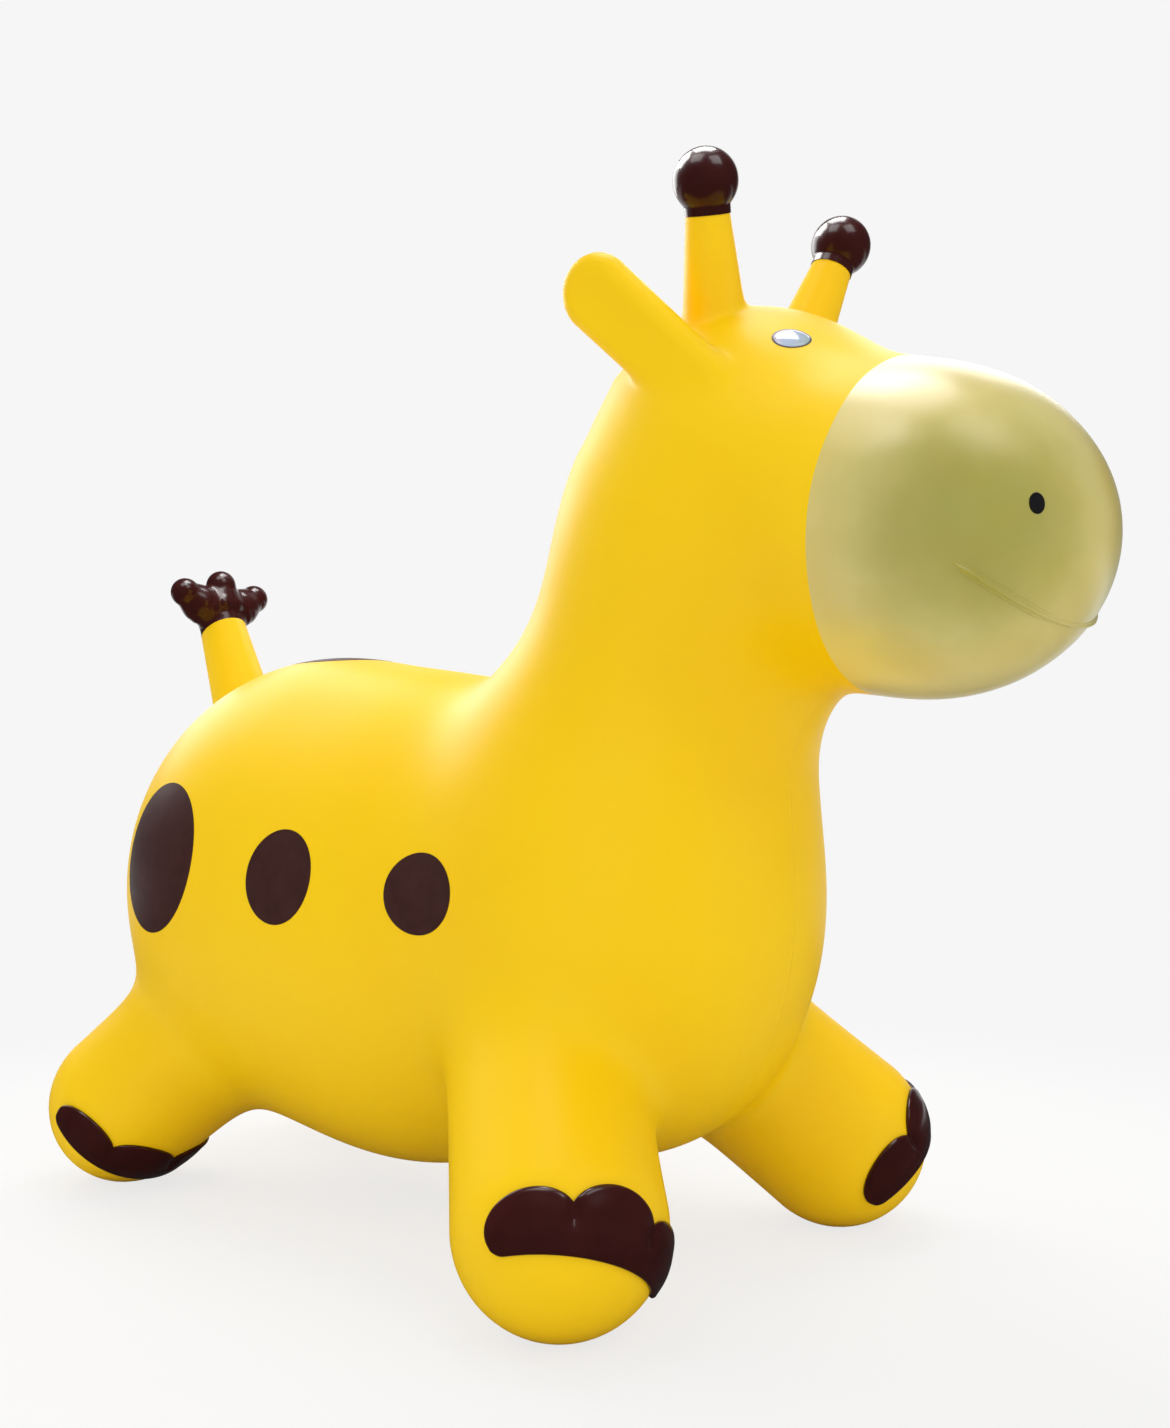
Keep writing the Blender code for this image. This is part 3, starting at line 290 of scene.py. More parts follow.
@dataclass(frozen=True)
class Surface:
    """The outer surface of a form."""

    form: Form
    probe: float = 0.0001
    ray_long: float = 0.4
    ray_points: int = 1601

    def slope(self, points: np.ndarray) -> np.ndarray:
        """Gradient of the form's field at each point."""
        corners = np.array(((1, -1, -1), (-1, -1, 1), (-1, 1, -1), (1, 1, 1)), float)
        total = np.zeros_like(points)
        for corner in corners:
            total += self.form.value(points + corner * self.probe)[:, None] * corner
        return total / (4.0 * self.probe)

    def normals(self, points: np.ndarray) -> np.ndarray:
        """Outward direction at each point."""
        slope = self.slope(points)
        return slope / np.linalg.norm(slope, axis=1)[:, None]

    def settle(self, points: np.ndarray, level: np.ndarray | float = 0.0, rounds: int = 5) -> np.ndarray:
        """Moves points onto a level of the field.

        Args:
            points: Points near the surface.
            level: Height above the surface, one for all or one a point.
            rounds: Newton steps.

        Returns:
            The moved points.
        """
        points = np.array(points, dtype=float)
        for _ in range(rounds):
            slope = self.slope(points)
            miss = self.form.value(points) - level
            points -= slope * (miss / (slope ** 2).sum(axis=1))[:, None]
        return points

    def seat(self, origin: np.ndarray, direction: np.ndarray) -> tuple[np.ndarray, np.ndarray]:
        """Point where a ray from inside leaves the surface, and the outward direction there."""
        ray = origin + np.linspace(0.0, self.ray_long, self.ray_points)[:, None] * direction
        outside = int(np.argmax(self.form.value(ray) > 0.0))
        point = self.settle(ray[outside:outside + 1])
        return point[0], self.normals(point)[0]


@dataclass(frozen=True)
class Stem:
    """A horn or the tail: its seat on the body, its axis, and its length to the paint line."""

    seat: np.ndarray
    axis: np.ndarray
    long: float
    foot_radius: float
    top_radius: float

    def limb(self, root: float, past: float) -> Limb:
        """The stem's form, from inside the body to past its paint line."""
        taper = (self.foot_radius - self.top_radius) / self.long
        return Limb(self.seat - self.axis * root, self.seat + self.axis * (self.long + past),
                    self.foot_radius + taper * root, self.top_radius - taper * past)


@dataclass(frozen=True)
class LegPlan:
    """A left leg: where its top is, where its foot stands on the floor, and its radii at both."""

    end: str
    top: Triple
    foot: tuple[float, float]
    top_radius: float
    foot_radius: float


class Anatomy:
    """Every form of the moulded skin, in the body's own coordinates."""

    rump = np.array((0.0, 0.283, 0.1685))
    belly = np.array((0.0, 0.195, 0.1525))
    chest = np.array((0.0, 0.0645, 0.1655))
    skull = np.array((0.0, -0.017, 0.371))
    muzzle = np.array((0.0, -0.109, 0.3315))
    muzzle_drop = 9.5
    paint_back = 0.0145
    neck_foot = (0.0, 0.042, 0.256)
    neck_top = (0.0, -0.001, 0.345)
    neck_seams = (("neck", (0.0, 0.045, 0.250)), ("head", (0.0, 0.003, 0.312)))
    neck_seam_rise = 55.0
    front_foot_radius = 0.0456
    leg_plans = (
        LegPlan("front", top=(0.051, 0.0715, 0.113), foot=(0.106, 0.008), top_radius=0.043,
                foot_radius=front_foot_radius),
        LegPlan("rear", top=(0.0425, 0.290, 0.113), foot=(0.0895, 0.357), top_radius=0.0465,
                foot_radius=0.0444))
    foot_flat = 0.0018
    foot_reach = 0.075
    seam_above_foot = 0.030
    horn_tall = 0.056
    knob_radius = 0.0141
    knob_drop = 0.0140
    fine_reach = 0.0030
    crease_wide = 0.0040
    crease_reach = 0.0060
    # Turn, rise, width and depth of each soft dimple on the muzzle.
    dimple_places = ((86.0, 26.0, 0.017, 0.0011), (62.0, 38.0, 0.014, 0.0006), (98.0, -24.0, 0.018, 0.0007),
                     (52.0, -46.0, 0.020, 0.0006), (70.0, 4.0, 0.022, 0.0005), (24.0, 34.0, 0.020, 0.0004))
    smile_half_wide = 0.059
    smile_radius = 0.094
    smile_drop = 0.043
    smile_points = 161

    def __init__(self) -> None:
        trunk = SoftUnion((
            Egg(tuple(self.rump), half=(0.119, 0.114, 0.127)),
            Egg(tuple(self.belly), half=(0.1105, 0.133, 0.130)),
            Egg(tuple(self.chest), half=(0.095, 0.101, 0.119)),
            Egg(tuple(self.muzzle), half=(0.074, 0.075, 0.069), drop=self.muzzle_drop),
            Limb(self.neck_foot, self.neck_top, start_radius=0.0675, end_radius=0.0655),
            Limb(self.neck_top, tuple(self.skull), start_radius=0.0655, end_radius=0.070)), softness=0.018)
        self.legs: dict[str, Limb] = {}
        for side, word in SIDES:
            for plan in self.leg_plans:
                foot = (*plan.foot, plan.foot_radius - self.foot_flat)
                self.legs[f"{plan.end}_{word}"] = Limb(mirrored(plan.top, side), mirrored(foot, side),
                                                       plan.top_radius, plan.foot_radius)
        self.body = SoftUnion((trunk, *self.legs.values()), softness=0.008)
        self.bare = Surface(self.body)
        self.horns = {word: self._horn(side) for side, word in SIDES}
        tail_seat, _ = self.bare.seat(self.rump, heading(turn=180.0, rise=45.0))
        self.tail = Stem(tail_seat, heading(turn=180.0, rise=66.0), long=0.0745, foot_radius=0.0200,
                         top_radius=0.0146)
        self.tail_top = self.tail.seat + self.tail.axis * self.tail.long
        self.tail_paint_axis = heading(turn=180.0, rise=56.0)
        self.appendages: dict[str, Form] = {}
        for side, word in SIDES:
            self.appendages[f"horn_{word}"] = self.horns[word].limb(root=0.016, past=0.008)
            self.appendages[f"ear_{word}"] = self._ear(side)
        self.appendages["tail"] = self.tail.limb(root=0.018, past=0.006)
        self.muzzle_axis = heading(0.0, -self.muzzle_drop)
        self.paint_point = self.muzzle - self.muzzle_axis * self.paint_back
        whole = SoftUnion((self.body, *self.appendages.values()), softness=0.0021)
        dimples = tuple((self.bare.seat(self.muzzle, heading(side * turn, rise))[0], wide, deep)
                        for side, _ in SIDES for turn, rise, wide, deep in self.dimple_places)
        self.skin = Surface(Dimpled(whole, dimples))

    def _horn(self, side: int) -> Stem:
        """Horn on one side, leaning outwards and ahead."""
        seat, _ = self.bare.seat(self.skull, heading(turn=side * 85.4, rise=61.7))
        outwards, ahead = math.radians(21.2), math.radians(11.5)
        axis = unit(np.array((side * math.tan(outwards), -math.tan(ahead), 1.0)))
        return Stem(seat, axis, self.horn_tall - self.knob_drop, foot_radius=0.0142, top_radius=0.0100)

    def _ear(self, side: int) -> Paddle:
        """Ear on one side, pointing back and up, with its root sunk into the head."""
        seat, outward = self.bare.seat(self.skull, heading(turn=side * 85.7, rise=25.3))
        axis = heading(turn=side * 160.0, rise=45.0)
        face = square_to(heading(turn=side * 82.0, rise=-14.0), axis)
        sunk, moved_ahead = 0.003, 0.004
        return Paddle(seat - outward * sunk - (0.0, moved_ahead, 0.0), axis, face, long=0.0720,
                      root_wide=0.0162, tip_wide=0.0174, thick=0.0078, dish=0.0013)

    def smile(self) -> tuple[np.ndarray, np.ndarray, np.ndarray]:
        """The smile line on the muzzle.

        Returns:
            Its points, the outward direction at each, and how full the line is there.
        """
        centre_up = self.muzzle[2] - self.smile_drop + self.smile_radius
        shares = np.linspace(-1.0, 1.0, self.smile_points)
        points = []
        for turn in shares * math.asin(self.smile_half_wide / self.smile_radius):
            start = np.array((self.smile_radius * math.sin(turn), self.muzzle[1],
                              centre_up - self.smile_radius * math.cos(turn)))
            points.append(self.skin.seat(start, AHEAD)[0])
        away = np.abs(shares)
        at_ends, in_middle = ease(1.0 - away, low=-0.01, high=0.09), 0.62
        fullness = at_ends * (in_middle + (1.0 - in_middle) * ease(away, low=0.10, high=0.45))
        return np.array(points), self.skin.normals(np.array(points)), fullness

    def off_appendages(self, points: np.ndarray) -> np.ndarray:
        """Distance of each point from the nearest horn, ear or tail."""
        return np.min([form.value(points) for form in self.appendages.values()], axis=0)

    def fine(self, points: np.ndarray) -> np.ndarray:
        """Whether points are on a horn, an ear or the tail."""
        return self.off_appendages(points) < self.fine_reach

    def finest(self, points: np.ndarray) -> np.ndarray:
        """Whether points are in the crease round a horn, an ear or the tail."""
        nearest = self.off_appendages(points)
        in_crease = np.abs(nearest - self.body.value(points)) < self.crease_wide
        return in_crease & (nearest < self.crease_reach)

    def region(self, points: np.ndarray) -> np.ndarray:
        """Name of the CAD node that each point of the skin belongs to.

        Args:
            points: Points on the skin.

        Returns:
            An array of names, with an empty one for what the tuft covers.
        """
        names = np.full(len(points), "torso", dtype=object)
        for name, seam in self.neck_seams:
            names[(points - seam) @ heading(0.0, self.neck_seam_rise) > 0.0] = name
        names[(points - self.paint_point) @ self.muzzle_axis > 0.0] = "muzzle"
        for word, leg in self.legs.items():
            from_foot = points - leg.end
            near = np.linalg.norm(from_foot, axis=1) < self.foot_reach
            names[near & (from_foot @ unit(leg.end - leg.start) > -self.seam_above_foot)] = f"leg_{word}"
        body = self.body.value(points)
        for word, form in self.appendages.items():
            names[form.value(points) < body] = word
        names[(names == "tail") & ((points - self.tail_top) @ self.tail_paint_axis > 0.0)] = ""
        return names


class Blocks:
    """Turns points and faces into meshes."""

    smooth_share = 0.5
    rough_passes = 8
    rounds = 4
    passes = 4
    fine_passes = 3
    touching = 1e-5

    @staticmethod
    def mesh(name: str, points: np.ndarray, faces: Sequence[Sequence[int]]) -> bpy.types.Mesh:
        """New mesh from points and faces."""
        mesh = bpy.data.meshes.new(name)
        mesh.from_pydata(np.asarray(points).tolist(), [], [list(map(int, face)) for face in faces])
        mesh.update()
        return mesh

    @staticmethod
    def grid_faces(rows: int, columns: int, wrap: bool = False) -> list[tuple[int, ...]]:
        """Faces of a grid whose points run column by column in each row."""
        faces = []
        for row in range(rows - 1):
            for column in range(columns if wrap else columns - 1):
                following = (column + 1) % columns
                low, high = row * columns, (row + 1) * columns
                faces.append((low + column, low + following, high + following, high + column))
        return faces

    @classmethod
    def part(cls, name: str, shape: Shape, kept: np.ndarray) -> tuple[bpy.types.Mesh, np.ndarray]:
        """Mesh of those faces of a shape that are kept, and the numbers that its points have there."""
        points, faces = shape
        chosen = [face for face, own in zip(faces, kept) if own]
        used, places = np.unique(np.concatenate(chosen), return_inverse=True)
        counts = np.cumsum([len(face) for face in chosen])[:-1]
        return cls.mesh(name, points[used], np.split(places, counts)), used

    @staticmethod
    def middles(shape: Shape) -> np.ndarray:
        """Middle of each face of a shape."""
        points, faces = shape
        return np.array([points[face].mean(axis=0) for face in faces])

    @classmethod
    def turned(cls, profile: Sequence[tuple[float, float]], origin: np.ndarray, axis: np.ndarray,
               sides: int) -> Shape:
        """Turned shape from radius and height pairs. Its first and last pairs are closed by caps.

        Args:
            profile: Radius and height pairs, from one end to the other.
            origin: Where the height is 0.
            axis: Direction of the height.
            sides: Points in a ring.

        Returns:
            Points and faces.
        """
        aslant = np.array((0.3, 1.0, 0.2))
        across = square_to(aslant, axis)
        circle = ring(across, np.cross(axis, across), sides)
        points = [origin + max(radius, cls.touching) * circle + height * axis for radius, height in profile]
        faces = cls.grid_faces(len(profile), sides, wrap=True)
        faces.append(tuple(range(sides))[::-1])
        faces.append(tuple((len(profile) - 1) * sides + index for index in range(sides)))
        return np.concatenate(points), faces

    @staticmethod
    def rounded(profile: Sequence[tuple[float, float]], reach: float, steps: int = 4, most: float = 0.45
                ) -> list[tuple[float, float]]:
        """A profile with each inner corner rounded over a reach along both its sides."""
        corners = [np.array(corner, float) for corner in profile]
        result = [tuple(corners[0])]
        for before, corner, after in zip(corners, corners[1:], corners[2:]):
            back, ahead = before - corner, after - corner
            give = min(reach, most * float(np.linalg.norm(back)), most * float(np.linalg.norm(ahead)))
            start, end = corner + unit(back) * give, corner + unit(ahead) * give
            for share in np.arange(steps + 1) / steps:
                point = (1 - share) ** 2 * start + 2 * share * (1 - share) * corner + share ** 2 * end
                result.append((float(point[0]), float(point[1])))
        result.append(tuple(corners[-1]))
        return result

    @classmethod
    def blown(cls, name: str, surface: Surface, cell: float,
              planes: Iterable[tuple[np.ndarray, np.ndarray]],
              finer: Iterable[Callable[[np.ndarray], np.ndarray]] = ()) -> Shape:
        """Fine mesh of a form: remeshed rough shapes settled on its surface, split along planes.

        Args:
            name: Name for the passing objects.
            surface: Surface to settle on.
            cell: Size of its cells.
            planes: Point and normal of each plane that faces are split along.
            finer: Tests of points, one a round, for where cells are halved.

        Returns:
            Points and faces.
        """
        shape = bmesh.new()
        surface.form.rough(shape)
        mesh = bpy.data.meshes.new(name)
        shape.to_mesh(mesh)
        shape.free()
        rough = placed(name, mesh)
        cells = rough.modifiers.new("cells", "REMESH")
        cells.mode = "VOXEL"
        cells.voxel_size = cell
        eased = rough.modifiers.new("eased", "SMOOTH")
        eased.factor = cls.smooth_share
        eased.iterations = cls.rough_passes
        made = evaluated(rough)
        points = np.empty(len(made.vertices) * 3)
        made.vertices.foreach_get("co", points)
        points = surface.settle(points.reshape(-1, 3), rounds=6)
        made.vertices.foreach_set("co", points.ravel())
        shape = bmesh.new()
        shape.from_mesh(made)
        bpy.data.meshes.remove(made)

        def places() -> np.ndarray:
            """Where the shape's points are now."""
            return np.array([vertex.co[:] for vertex in shape.verts])

        def spread(moved: list[bmesh.types.BMVert], passes: int) -> None:
            """Evens out some points, then settles all of them."""
            for _ in range(passes):
                bmesh.ops.smooth_vert(shape, verts=moved, factor=cls.smooth_share, use_axis_x=True,
                                      use_axis_y=True, use_axis_z=True)
            for vertex, place in zip(shape.verts, surface.settle(places(), rounds=3)):
                vertex.co = place

        for _ in range(cls.rounds):
            spread(shape.verts[:], cls.passes)
        for test in finer:
            flags = test(places())
            shape.verts.index_update()
            edges = {edge for face in shape.faces if any(flags[vertex.index] for vertex in face.verts)
                     for edge in face.edges}
            bmesh.ops.subdivide_edges(shape, edges=sorted(edges, key=lambda edge: edge.index), cuts=1,
                                      use_grid_fill=True)
            flags = test(places())
            spread([vertex for vertex, flag in zip(shape.verts, flags) if flag], cls.fine_passes)
            shape.edges.index_update()
        for point, normal in planes:
            everything = shape.verts[:] + shape.edges[:] + shape.faces[:]
            bmesh.ops.bisect_plane(shape, geom=everything, plane_co=point, plane_no=normal,
                                   dist=cls.touching)
        shape.verts.index_update()
        points = places()
        faces = [[vertex.index for vertex in face.verts] for face in shape.faces]
        shape.free()
        return points, faces


class Val:
    """A shader value with arithmetic: each operator adds a Math node to the same tree."""

    def __init__(self, tree: "Graph", socket: bpy.types.NodeSocket) -> None:
        self.tree = tree
        self.socket = socket

    def _math(self, operation: str, *others: "Val | float") -> "Val":
        """Result of a Math node on this value and others."""
        node = self.tree.nodes.new("ShaderNodeMath")
        node.operation = operation
        for place, value in zip(node.inputs, (self, *others)):
            self.tree.feed(place, value)
        return Val(self.tree, node.outputs[0])

    __add__ = __radd__ = partialmethod(_math, "ADD")
    __sub__ = partialmethod(_math, "SUBTRACT")
    __mul__ = __rmul__ = partialmethod(_math, "MULTIPLY")
    __truediv__ = partialmethod(_math, "DIVIDE")
    __pow__ = partialmethod(_math, "POWER")

    def __rsub__(self, other: float) -> "Val":
        return self * -1.0 + other

    def size(self) -> "Val":
        """The value without its sign."""
        return self._math("ABSOLUTE")

    def bell(self) -> "Val":
        """Bell curve of the value: 1 at 0, and about a third at 1 and -1."""
        return (self * self * -1.0)._math("EXPONENT")

    def step(self, low: float, high: float) -> "Val":
        """Smooth step from 0 at a low value to 1 at a high one."""
        return self.tree.out("ShaderNodeMapRange", {"interpolation_type": "SMOOTHSTEP"}, Value=self,
                             From_Min=low, From_Max=high)


class Graph:
    """A node tree that takes numbers, colours and links alike."""

    def __init__(self, tree: bpy.types.NodeTree) -> None:
        self.nodes = tree.nodes
        self.links = tree.links

    def feed(self, socket: bpy.types.NodeSocket, value: "Val | float | Colour") -> None:
        """Links a value to a socket, or sets the socket's own constant."""
        if isinstance(value, Val):
            self.links.new(value.socket, socket)
        elif isinstance(value, tuple) and len(value) == 3 and socket.type == "RGBA":
            socket.default_value = (*value, 1.0)
        else:
            socket.default_value = value

    def node(self, kind: str, settings: dict[str, object] | None = None, **inputs: object
             ) -> bpy.types.Node:
        """Adds a node of any kind, with its settings and inputs by name."""
        node = self.nodes.new(kind)
        for key, value in (settings or {}).items():
            setattr(node, key, value)
        for key, value in inputs.items():
            self.feed(node.inputs[key.replace("_", " ")], value)
        return node

    def out(self, kind: str, settings: dict[str, object] | None = None, output: str = "",
            **inputs: object) -> Val:
        """One output of a new node: the named one, or else the first in use."""
        sockets = self.node(kind, settings, **inputs).outputs
        return Val(self, sockets[output] if output else next(socket for socket in sockets if socket.enabled))

    def axis(self, place: Val, name: str) -> Val:
        """One coordinate of a place, X, Y or Z."""
        return self.out("ShaderNodeSeparateXYZ", output=name, Vector=place)

    def for_rays(self, kind: str, first: Val, second: Val, share: Val | float = 1.0) -> Val:
        """A shader, with a share of a second one in its place for one kind of light ray."""
        node = self.nodes.new("ShaderNodeMixShader")
        ray = self.out("ShaderNodeLightPath", output=kind)
        for socket, value in zip(node.inputs, (ray * share, first, second)):
            self.feed(socket, value)
        return Val(self, node.outputs[0])


class Growth(Graph):
    """Geometry node tree with named inputs, which turns a guide into a plain mesh."""

    kinds = {int: "NodeSocketInt", float: "NodeSocketFloat"}

    def __init__(self, name: str, finish: bpy.types.Material, **sizes: float | int) -> None:
        self.group = bpy.data.node_groups.new(name, "GeometryNodeTree")
        super().__init__(self.group)
        self.values: dict[str, object] = {"Finish": finish, **sizes}
        self.group.interface.new_socket("Geometry", in_out="OUTPUT", socket_type="NodeSocketGeometry")
        self.group.interface.new_socket("Guide", in_out="INPUT", socket_type="NodeSocketGeometry")
        for key, value in self.values.items():
            kind = self.kinds.get(type(value), "NodeSocketMaterial")
            self.group.interface.new_socket(key, in_out="INPUT", socket_type=kind)
        self.entry = self.nodes.new("NodeGroupInput")

    def size(self, name: str) -> Val:
        """One of the tree's own inputs."""
        return Val(self, self.entry.outputs[name])

    def attribute(self, name: str, kind: str) -> Val:
        """An attribute of the guide."""
        return self.out("GeometryNodeInputNamedAttribute", {"data_type": kind}, Name=name)

    def grow(self, guide: bpy.types.Mesh, result: Val) -> bpy.types.Mesh:
        """Runs the tree on a guide.

        Args:
            guide: Mesh that the tree starts from.
            result: Geometry that it makes.

        Returns:
            The plain mesh.
        """
        real = self.out("GeometryNodeRealizeInstances", Geometry=result)
        painted = self.out("GeometryNodeSetMaterial", Geometry=real, Material=self.size("Finish"))
        self.links.new(painted.socket, self.nodes.new("NodeGroupOutput").inputs["Geometry"])
        holder = placed(self.group.name, guide)
        modifier = holder.modifiers.new("growth", "NODES")
        modifier.node_group = self.group
        for item in self.group.interface.items_tree:
            if item.name in self.values:
                modifier[item.identifier] = self.values[item.name]
        return evaluated(holder)


class Shader(Graph):
    """Builds one procedural material."""

    def __init__(self, name: str) -> None:
        self.material = bpy.data.materials.new(name)
        self.material.use_nodes = True
        super().__init__(self.material.node_tree)
        self.main = self.nodes["Principled BSDF"]
        self.place = self.out("ShaderNodeTexCoord", output="Object")

    def noise(self, scale: float, detail: float = 2.0, roughness: float = 0.5) -> Val:
        """Noise in the object's own coordinates, about 0 to 1."""
        return self.out("ShaderNodeTexNoise", Vector=self.place, Scale=scale, Detail=detail,
                        Roughness=roughness)

    def wobble(self, scale: float, detail: float, width: float) -> Val:
        """Noise about 0, as wide as given."""
        return (self.noise(scale, detail) - 0.5) * width

    def mix(self, share: Val, low: "Val | Colour", high: "Val | Colour") -> Val:
        """Colour between two others."""
        node = self.nodes.new("ShaderNodeMix")
        node.data_type = "RGBA"
        first_colour, second_colour, result = 6, 7, 2
        self.feed(node.inputs[0], share)
        self.feed(node.inputs[first_colour], low)
        self.feed(node.inputs[second_colour], high)
        return Val(self, node.outputs[result])

    def seam(self, half_wide: float) -> Val:
        """The mould's parting line: 1 along the middle of the body, and 0 a little beside it."""
        return 1.0 - self.axis(self.place, "X").size().step(0.0002, half_wide)

    def bump(self, height: Val, metres: float) -> None:
        """Bump of a height from 0 to 1, that many metres tall."""
        self.set(Normal=self.out("ShaderNodeBump", Height=height, Distance=metres))

    def set(self, **values: "Val | float | Colour") -> None:
        """Sets inputs of the main shader by their names."""
        for key, value in values.items():
            self.feed(self.main.inputs[key.replace("_", " ")], value)


@dataclass(frozen=True)
class SkinFinish:
    """Soft PVC, coloured through."""

    name: str = "yellow_pvc"
    base: Colour = (0.935, 0.600, 0.0005)
    deep: Colour = (0.915, 0.565, 0.0004)
    roughness: float = 0.42

    def make(self) -> bpy.types.Material:
        """Builds the material."""
        shader = Shader(self.name)
        cloud = shader.noise(scale=7.0, detail=3.0).step(0.35, 0.7)
        shader.set(Base_Color=shader.mix(cloud, self.base, self.deep), Specular_IOR_Level=0.20,
                   Roughness=self.roughness + shader.wobble(scale=26.0, detail=4.0, width=0.10))
        grain = shader.noise(scale=650.0) * 0.05 + shader.noise(scale=60.0) * 0.35
        shader.bump(grain + shader.seam(half_wide=0.0007) * 0.20, metres=0.0006)
        return shader.material


@dataclass(frozen=True)
class PearlFinish:
    """Pearly cream paint with a clear coat. The olive over the middle of each cheek is painted shade and a
    painted dark reflection. The cream is the paint's own colour and also stands in for a pale painted
    reflection at the rims.
    """

    painted_shade_centre: Triple
    name: str = "pearl_cream"
    # Olive and moss are painted shade and painted dark reflection; cream and blush are the paint's own
    # colour, which also stands in for a pale painted reflection at the rims.
    painted_shade_olive: Colour = (0.43, 0.380, 0.036)
    painted_shade_moss: Colour = (0.42, 0.400, 0.052)
    cream: Colour = (0.77, 0.66, 0.235)
    blush: Colour = (0.75, 0.60, 0.155)
    painted_shade_end: float = 0.012
    cream_and_pale_sheen_start: float = 0.074
    roughness: float = 0.36

    def make(self) -> bpy.types.Material:
        """Builds the material."""
        shader = Shader(self.name)
        across, along, up = (shader.axis(shader.place, name) for name in "XYZ")
        # Distance from the middle of the painted shade on each cheek: olive painted shade there, cream away
        # from it.
        gaps = (across.size() - abs(self.painted_shade_centre[0]), along - self.painted_shade_centre[1], up - self.painted_shade_centre[2])
        away = sum(gap * gap for gap in gaps) ** 0.5
        away = away + (shader.wobble(scale=26.0, detail=3.0, width=0.030)
                       + shader.wobble(scale=75.0, detail=2.0, width=0.010))
        painted_shade_olive = shader.mix(shader.noise(scale=20.0).step(0.38, 0.62), self.painted_shade_olive, self.painted_shade_moss)
        cream = shader.mix(shader.noise(scale=17.0, detail=1.0).step(0.40, 0.60), self.cream, self.blush)
        shader.set(Base_Color=shader.mix(away.step(self.painted_shade_end, self.cream_and_pale_sheen_start), painted_shade_olive, cream),
                   Roughness=self.roughness + shader.wobble(scale=30.0, detail=3.0, width=0.10),
                   Coat_Weight=1.0, Coat_IOR=1.9, Coat_Roughness=0.36)
        shader.bump(shader.noise(scale=650.0) * 0.03 + shader.noise(scale=38.0) * 0.55, metres=0.0010)
        return shader.material


@dataclass(frozen=True)
class GlossFinish:
    """Dark gloss paint over moulded relief, with the mould's parting line down the middle."""

    name: str = "brown_gloss"
    base: Colour = (0.0300, 0.0046, 0.0040)
    worn: Colour = (0.0360, 0.0060, 0.0053)
    roughness: float = 0.32

    def make(self) -> bpy.types.Material:
        """Builds the material."""
        shader = Shader(self.name)
        cloud = shader.noise(scale=60.0).step(0.35, 0.7)
        shader.set(Base_Color=shader.mix(cloud, self.base, self.worn), Specular_IOR_Level=0.10,
                   Roughness=self.roughness + shader.wobble(scale=120.0, detail=3.0, width=0.06),
                   Coat_Weight=1.0, Coat_IOR=1.3, Coat_Roughness=0.16)
        waves = shader.noise(scale=60.0, detail=1.0) * 0.20
        shader.bump(waves + shader.seam(half_wide=0.0008) * 0.5, metres=0.0003)
        return shader.material


@dataclass(frozen=True)
class PaintFinish:
    """Flat paint film, faintly uneven from the spray."""

    name: str
    base: Colour
    other: Colour
    roughness: float

    def make(self) -> bpy.types.Material:
        """Builds the material."""
        shader = Shader(self.name)
        cloud = shader.noise(scale=90.0, detail=4.0, roughness=0.65).step(0.3, 0.75)
        shader.set(Base_Color=shader.mix(cloud, self.base, self.other),
                   Roughness=self.roughness + shader.wobble(scale=160.0, detail=3.0, width=0.10))
        shader.bump(shader.noise(scale=700.0) * 0.12 + shader.noise(scale=60.0) * 0.3, metres=0.0005)
        return shader.material


@dataclass(frozen=True)
class EyeFinish:
    """Glossy eye lens whose colour is a painted reflection of overhead light on a dark eye: pinkish towards
    the ear, blue-lilac in the middle and greyer towards the nose.
    """

    nose_side: float
    ear_side: float
    name: str = "eye_lilac"
    grey: Colour = (0.38, 0.47, 0.47)
    blue: Colour = (0.47, 0.54, 0.70)
    pink: Colour = (0.62, 0.55, 0.66)

    def make(self) -> bpy.types.Material:
        """Builds the material."""
        shader = Shader(self.name)
        along = shader.axis(shader.place, "Y") + shader.wobble(scale=120.0, detail=2.0, width=0.003)
        middle = (self.nose_side + self.ear_side) / 2.0
        painted_reflection_tint = shader.mix(along.step(self.nose_side, middle), self.grey, self.blue)
        painted_reflection_tint = shader.mix(along.step(middle, self.ear_side), painted_reflection_tint, self.pink)
        shader.set(Base_Color=painted_reflection_tint, Roughness=0.12, Coat_Weight=0.6, Coat_Roughness=0.05)
        return shader.material


class Finish(Enum):
    """Finish of a piece, with a label and a material slot name."""

    SKIN = ("yellow pvc", "skin_yellow")
    MUZZLE = ("pearly cream", "muzzle_cream")
    GLOSS = ("brown gloss", "gloss_brown")
    SPOT = ("brown film", "spot_brown")
    # The lens's lilac colour is a painted reflection of light on a dark glossy eye.
    EYE = ("lilac lens", "eye_lilac")
    EYE_RIM = ("grey eye rim", "eye_lilac")
    NOSTRIL = ("black film", "nostril_black")
    PLUG = ("white pvc", "plug_white")


